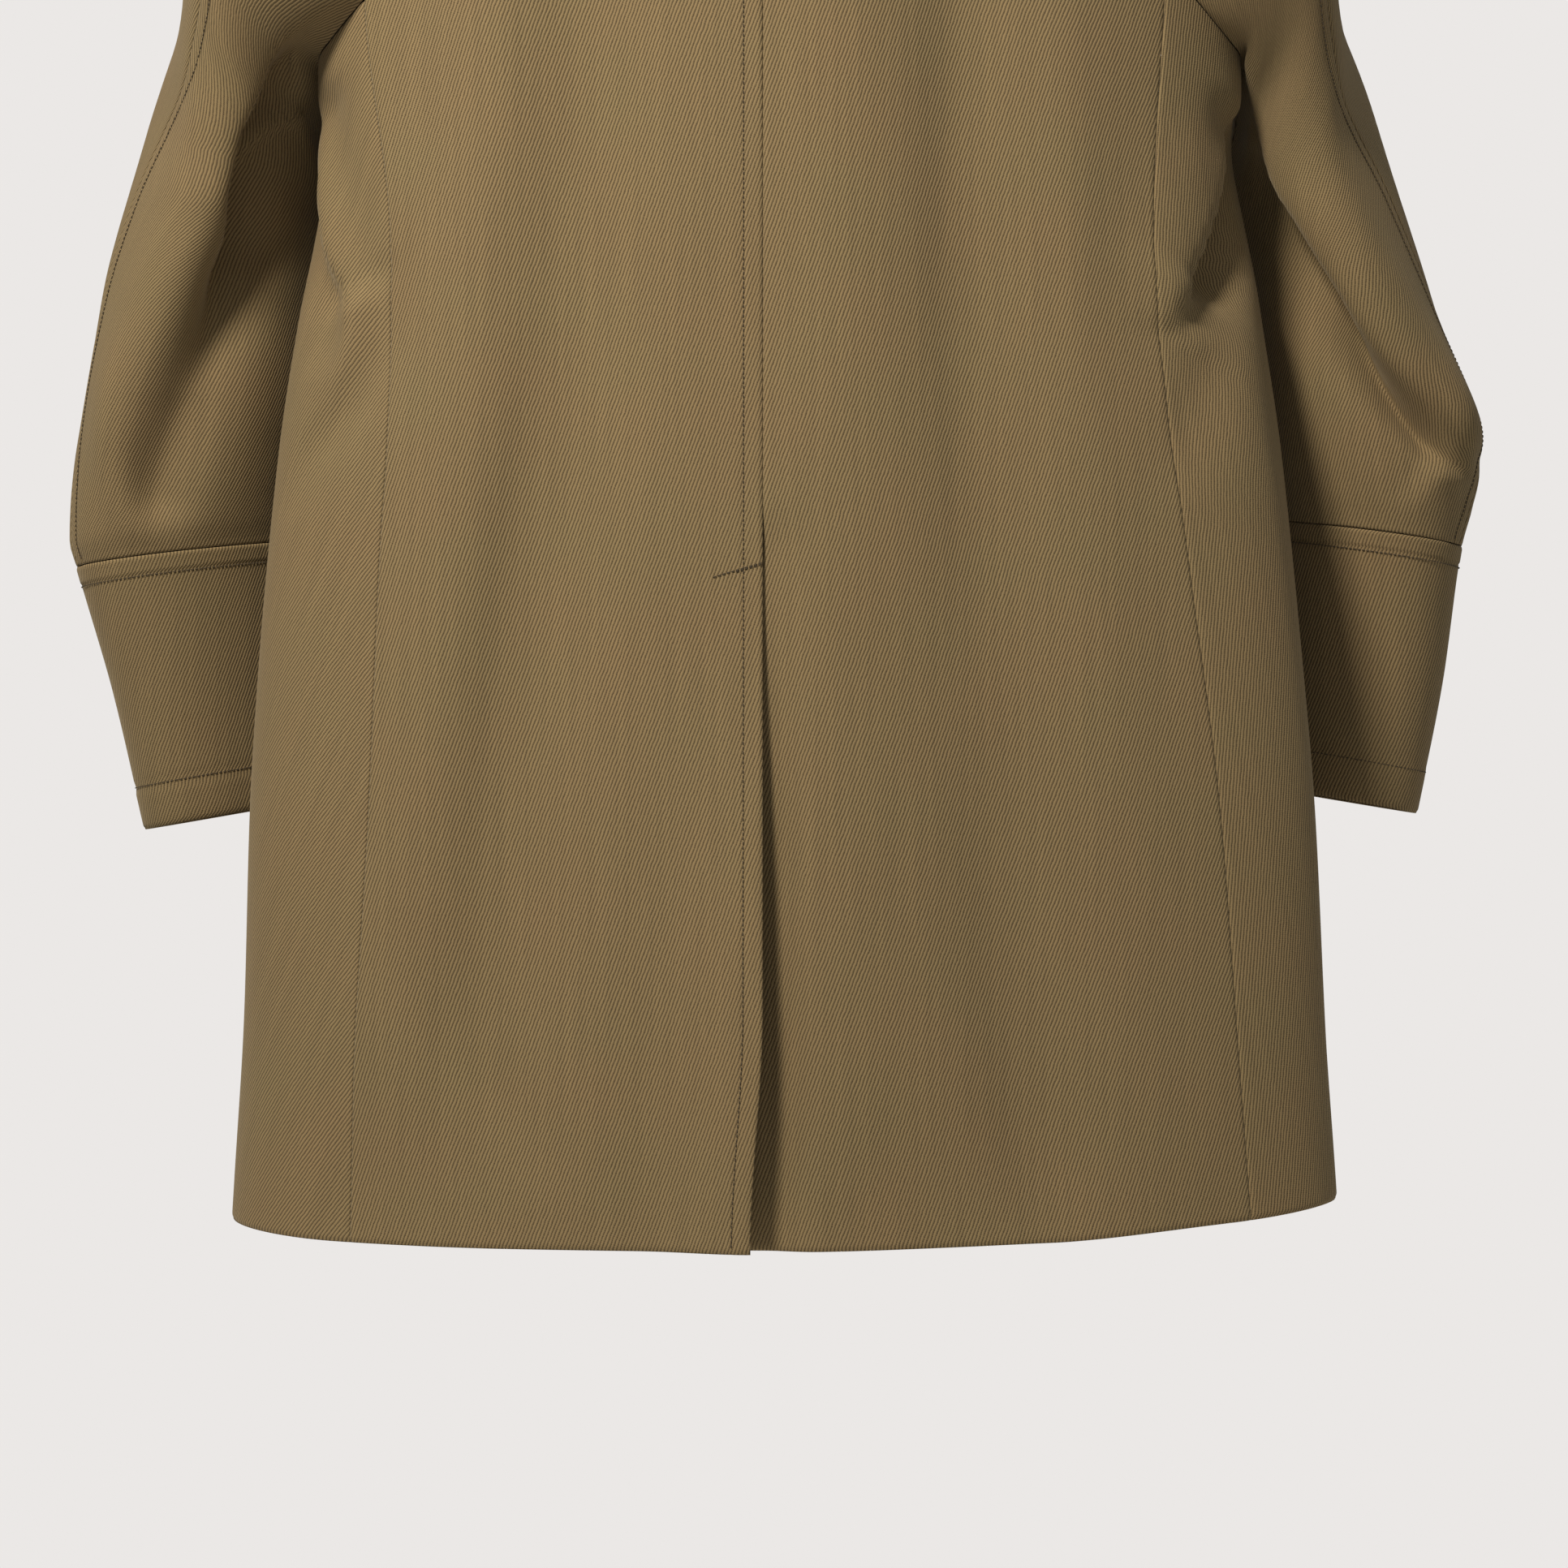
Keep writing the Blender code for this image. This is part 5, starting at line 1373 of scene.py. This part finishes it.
class COAT_OT_stitches(bpy.types.Operator):
    """Sews the topstitch rows of the back, vent, sleeves, cuffs, fronts, lapels and collar"""

    bl_idname = "coat.stitches"
    bl_label = "Stitches"

    def execute(self, context):
        sewing = context.scene.coat_sewing
        thread = bpy.data.materials["Twisted polyester thread"]
        size = (sewing.pitch, sewing.length, STITCH_LIFT)

        def row(surface, u, v):
            return stitch_places(surface, u, v, *size)

        def on_back(x, z):
            return back_point(LEFT, x, z)

        z = np.linspace(-0.03, -0.9285, 1500)
        seam = np.full(z.shape, LEFT * CENTRE_BACK_X + CENTRE_STITCH)
        tack_x = np.linspace(LEFT * CENTRE_BACK_X + 0.0005, LEFT * CENTRE_BACK_X + TACK_RUN, 60)
        tack = np.linspace(VENT_TOP_Z - 0.0005, VENT_TOP_Z - TACK_DROP, 60)
        lines = [(seam, z), (tack_x, tack), (tack_x[:36], tack[:36] - 0.0007)]
        rows = [outward(row(on_back, *line), LEFT) for line in lines]
        stitch_object("coat_stitch_back", rows, thread, sewing.length, sewing.diameter)
        for side in (LEFT, RIGHT):
            word = side_name(side)
            surface = sleeve(side)
            station = np.linspace(0.02, CUFF_STATION - 0.003, 1200)
            place = 1.0 - OVER_ARM_STITCH / sleeve_speed(side, station)[0]
            ring = np.linspace(0.0, 2.0, 900)
            down = sleeve_speed(side, np.array([CUFF_STATION, CUFF_END]))[1]
            top = np.full(ring.shape, CUFF_STATION + CUFF_STITCH / down[0])
            low = np.full(ring.shape, CUFF_END - CUFF_HEM_STITCH / down[1])
            lines = [(station, place), (top, ring), (low, ring)]
            rows = [outward(row(surface, *line), side) for line in lines]
            stitch_object("coat_stitch_sleeve_" + word, rows, thread, sewing.length, sewing.diameter)
        share = np.linspace(0.03, 0.855, 500)
        rows = []
        for side in (LEFT, RIGHT):
            inside = 1.0 - 0.009 / (smooth(LAPEL, "width", share) + 0.003)
            rows.append(outward(row(lapel_panel(side), share, np.maximum(inside, 0.2)), side))
        up = np.linspace(0.004, 0.985, 1200)
        rows.append(outward(row(front_panel(LEFT), np.full(up.shape, 0.9815), up), -1))
        along = np.linspace(-0.975, 0.975, 1200)
        rows.append(outward(row(collar_surface, along, np.full(along.shape, 2.89)), -1))
        stitch_object("coat_stitch_front", rows, thread, sewing.length, sewing.diameter)
        return {"FINISHED"}


def outward(places, side):
    """Stitches whose outward side is turned to the surface's own outer face."""
    middle, along, out = places
    return middle + (side - 1) * STITCH_LIFT * out, along, side * out


class COAT_OT_stage(bpy.types.Operator):
    """Lays the pale floor, hangs the lights and sets the camera"""

    bl_idname = "coat.stage"
    bl_label = "Floor, light and camera"

    def execute(self, context):
        stage = context.scene.coat_stage
        angle = np.linspace(0.0, 2.0 * np.pi, 97)[:-1]
        reach = np.linspace(0.02, 3.4, 24)
        disc = reach[:, None, None] * np.stack([np.cos(angle), np.sin(angle), 0.0 * angle], -1)[None]
        number = np.arange(disc.shape[0] * 96).reshape(-1, 96)
        after = np.roll(number, -1, axis=1)
        quads = np.stack([number[:-1], number[1:], after[1:], after[:-1]], -1).reshape(-1, 4)
        spots = disc.reshape(-1, 3) + np.array([0.0, 0.0, stage.floor_z])
        faces = quads.tolist() + [number[0].tolist()]
        new_object("floor", spots, faces, floor_material(stage))
        light_world(stage)
        lamp = bpy.data.lights.new("key_light", "AREA")
        lamp.shape = "DISK"
        lamp.size = 0.5
        lamp.energy = stage.key
        lamp.color = linear("#fff9f2")
        key = bpy.data.objects.new("key_light", lamp)
        target = Vector((0.0, 0.0, -0.6))
        azimuth, height, distance = np.radians(29.0), np.radians(45.0), 2.3
        level = np.cos(height)
        towards = Vector((-np.sin(azimuth) * level, -np.cos(azimuth) * level, np.sin(height)))
        key.location = target + towards * distance
        key.rotation_euler = towards.to_track_quat("Z", "Y").to_euler()
        context.scene.collection.objects.link(key)
        lens = bpy.data.cameras.new("camera")
        lens.angle = 2.0 * float(np.arctan(FRAME_WIDTH / 2.0 / CAMERA_DISTANCE))
        lens.clip_start, lens.clip_end = 0.1, 50.0
        camera = bpy.data.objects.new("camera", lens)
        camera.location = (CAMERA_X, -CAMERA_DISTANCE, CAMERA_Z)
        camera.rotation_euler = (np.pi / 2.0, 0.0, 0.0)
        context.scene.collection.objects.link(camera)
        context.scene.camera = camera
        context.scene.view_settings.view_transform = "Standard"
        return {"FINISHED"}


def floor_material(stage):
    """Painted studio floor: pale and dull, fading out far from the coat to meet the backdrop unseen."""
    material, tree, shader = started("Painted studio floor")
    shader.inputs["Base Color"].default_value = (*stage.floor, 1.0)
    shader.inputs["Roughness"].default_value = 0.8
    place = add(tree, "ShaderNodeTexCoord", {}, {}).outputs["Object"]
    flat = add(tree, "ShaderNodeVectorMath", {"operation": "MULTIPLY"}, {0: place, 1: (1.0, 1.0, 0.0)})
    far = add(tree, "ShaderNodeVectorMath", {"operation": "LENGTH"}, {
        0: flat.outputs["Vector"]}).outputs["Value"]
    fade = add(tree, "ShaderNodeMapRange", {"interpolation_type": "SMOOTHSTEP"}, {
        "Value": far, "From Min": 0.5, "From Max": 1.9, "To Min": 1.0, "To Max": 0.0}).outputs["Result"]
    tree.links.new(fade, shader.inputs["Alpha"])
    return material


def light_world(stage):
    """Even soft light from all round, and a plain pale backdrop."""
    world = bpy.data.worlds.new("studio")
    world.use_nodes = True
    bpy.context.scene.world = world
    tree = world.node_tree
    tree.nodes.clear()
    seen = add(tree, "ShaderNodeBackground", {}, {"Color": (*stage.backdrop, 1.0), "Strength": 1.0})
    glow = add(tree, "ShaderNodeBackground", {}, {"Color": (1.0, 1.0, 1.0, 1.0), "Strength": stage.ambient})
    ray = add(tree, "ShaderNodeLightPath", {}, {}).outputs["Is Camera Ray"]
    both = add(tree, "ShaderNodeMixShader", {}, {
        0: ray, 1: glow.outputs["Background"], 2: seen.outputs["Background"]})
    add(tree, "ShaderNodeOutputWorld", {}, {"Surface": both.outputs["Shader"]})


class COAT_PT_panel(bpy.types.Panel):
    """Lists the steps that build the coat's looks"""

    bl_idname = "COAT_PT_panel"
    bl_label = "Polo coat"
    bl_space_type = "VIEW_3D"
    bl_region_type = "UI"
    bl_category = "Coat"

    def draw(self, context):
        column = self.layout.column()
        for step in STEPS:
            column.operator(step.bl_idname)


STEPS = (COAT_OT_body, COAT_OT_sleeves, COAT_OT_collar, COAT_OT_buttons, COAT_OT_stitches, COAT_OT_stage)
CLASSES = (CoatCloth, CoatSewing, CoatStage, *STEPS, COAT_PT_panel)


def register():
    for kind in CLASSES:
        bpy.utils.register_class(kind)
    bpy.types.Scene.coat_cloth = bpy.props.PointerProperty(type=CoatCloth)
    bpy.types.Scene.coat_sewing = bpy.props.PointerProperty(type=CoatSewing)
    bpy.types.Scene.coat_stage = bpy.props.PointerProperty(type=CoatStage)


def unregister():
    del bpy.types.Scene.coat_stage
    del bpy.types.Scene.coat_sewing
    del bpy.types.Scene.coat_cloth
    for kind in reversed(CLASSES):
        bpy.utils.unregister_class(kind)


def main():
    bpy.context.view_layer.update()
    register()
    bpy.ops.coat.body()
    bpy.ops.coat.sleeves()
    bpy.ops.coat.collar()
    bpy.ops.coat.buttons()
    bpy.ops.coat.stitches()
    bpy.ops.coat.stage()


if __name__ == "__main__":
    main()
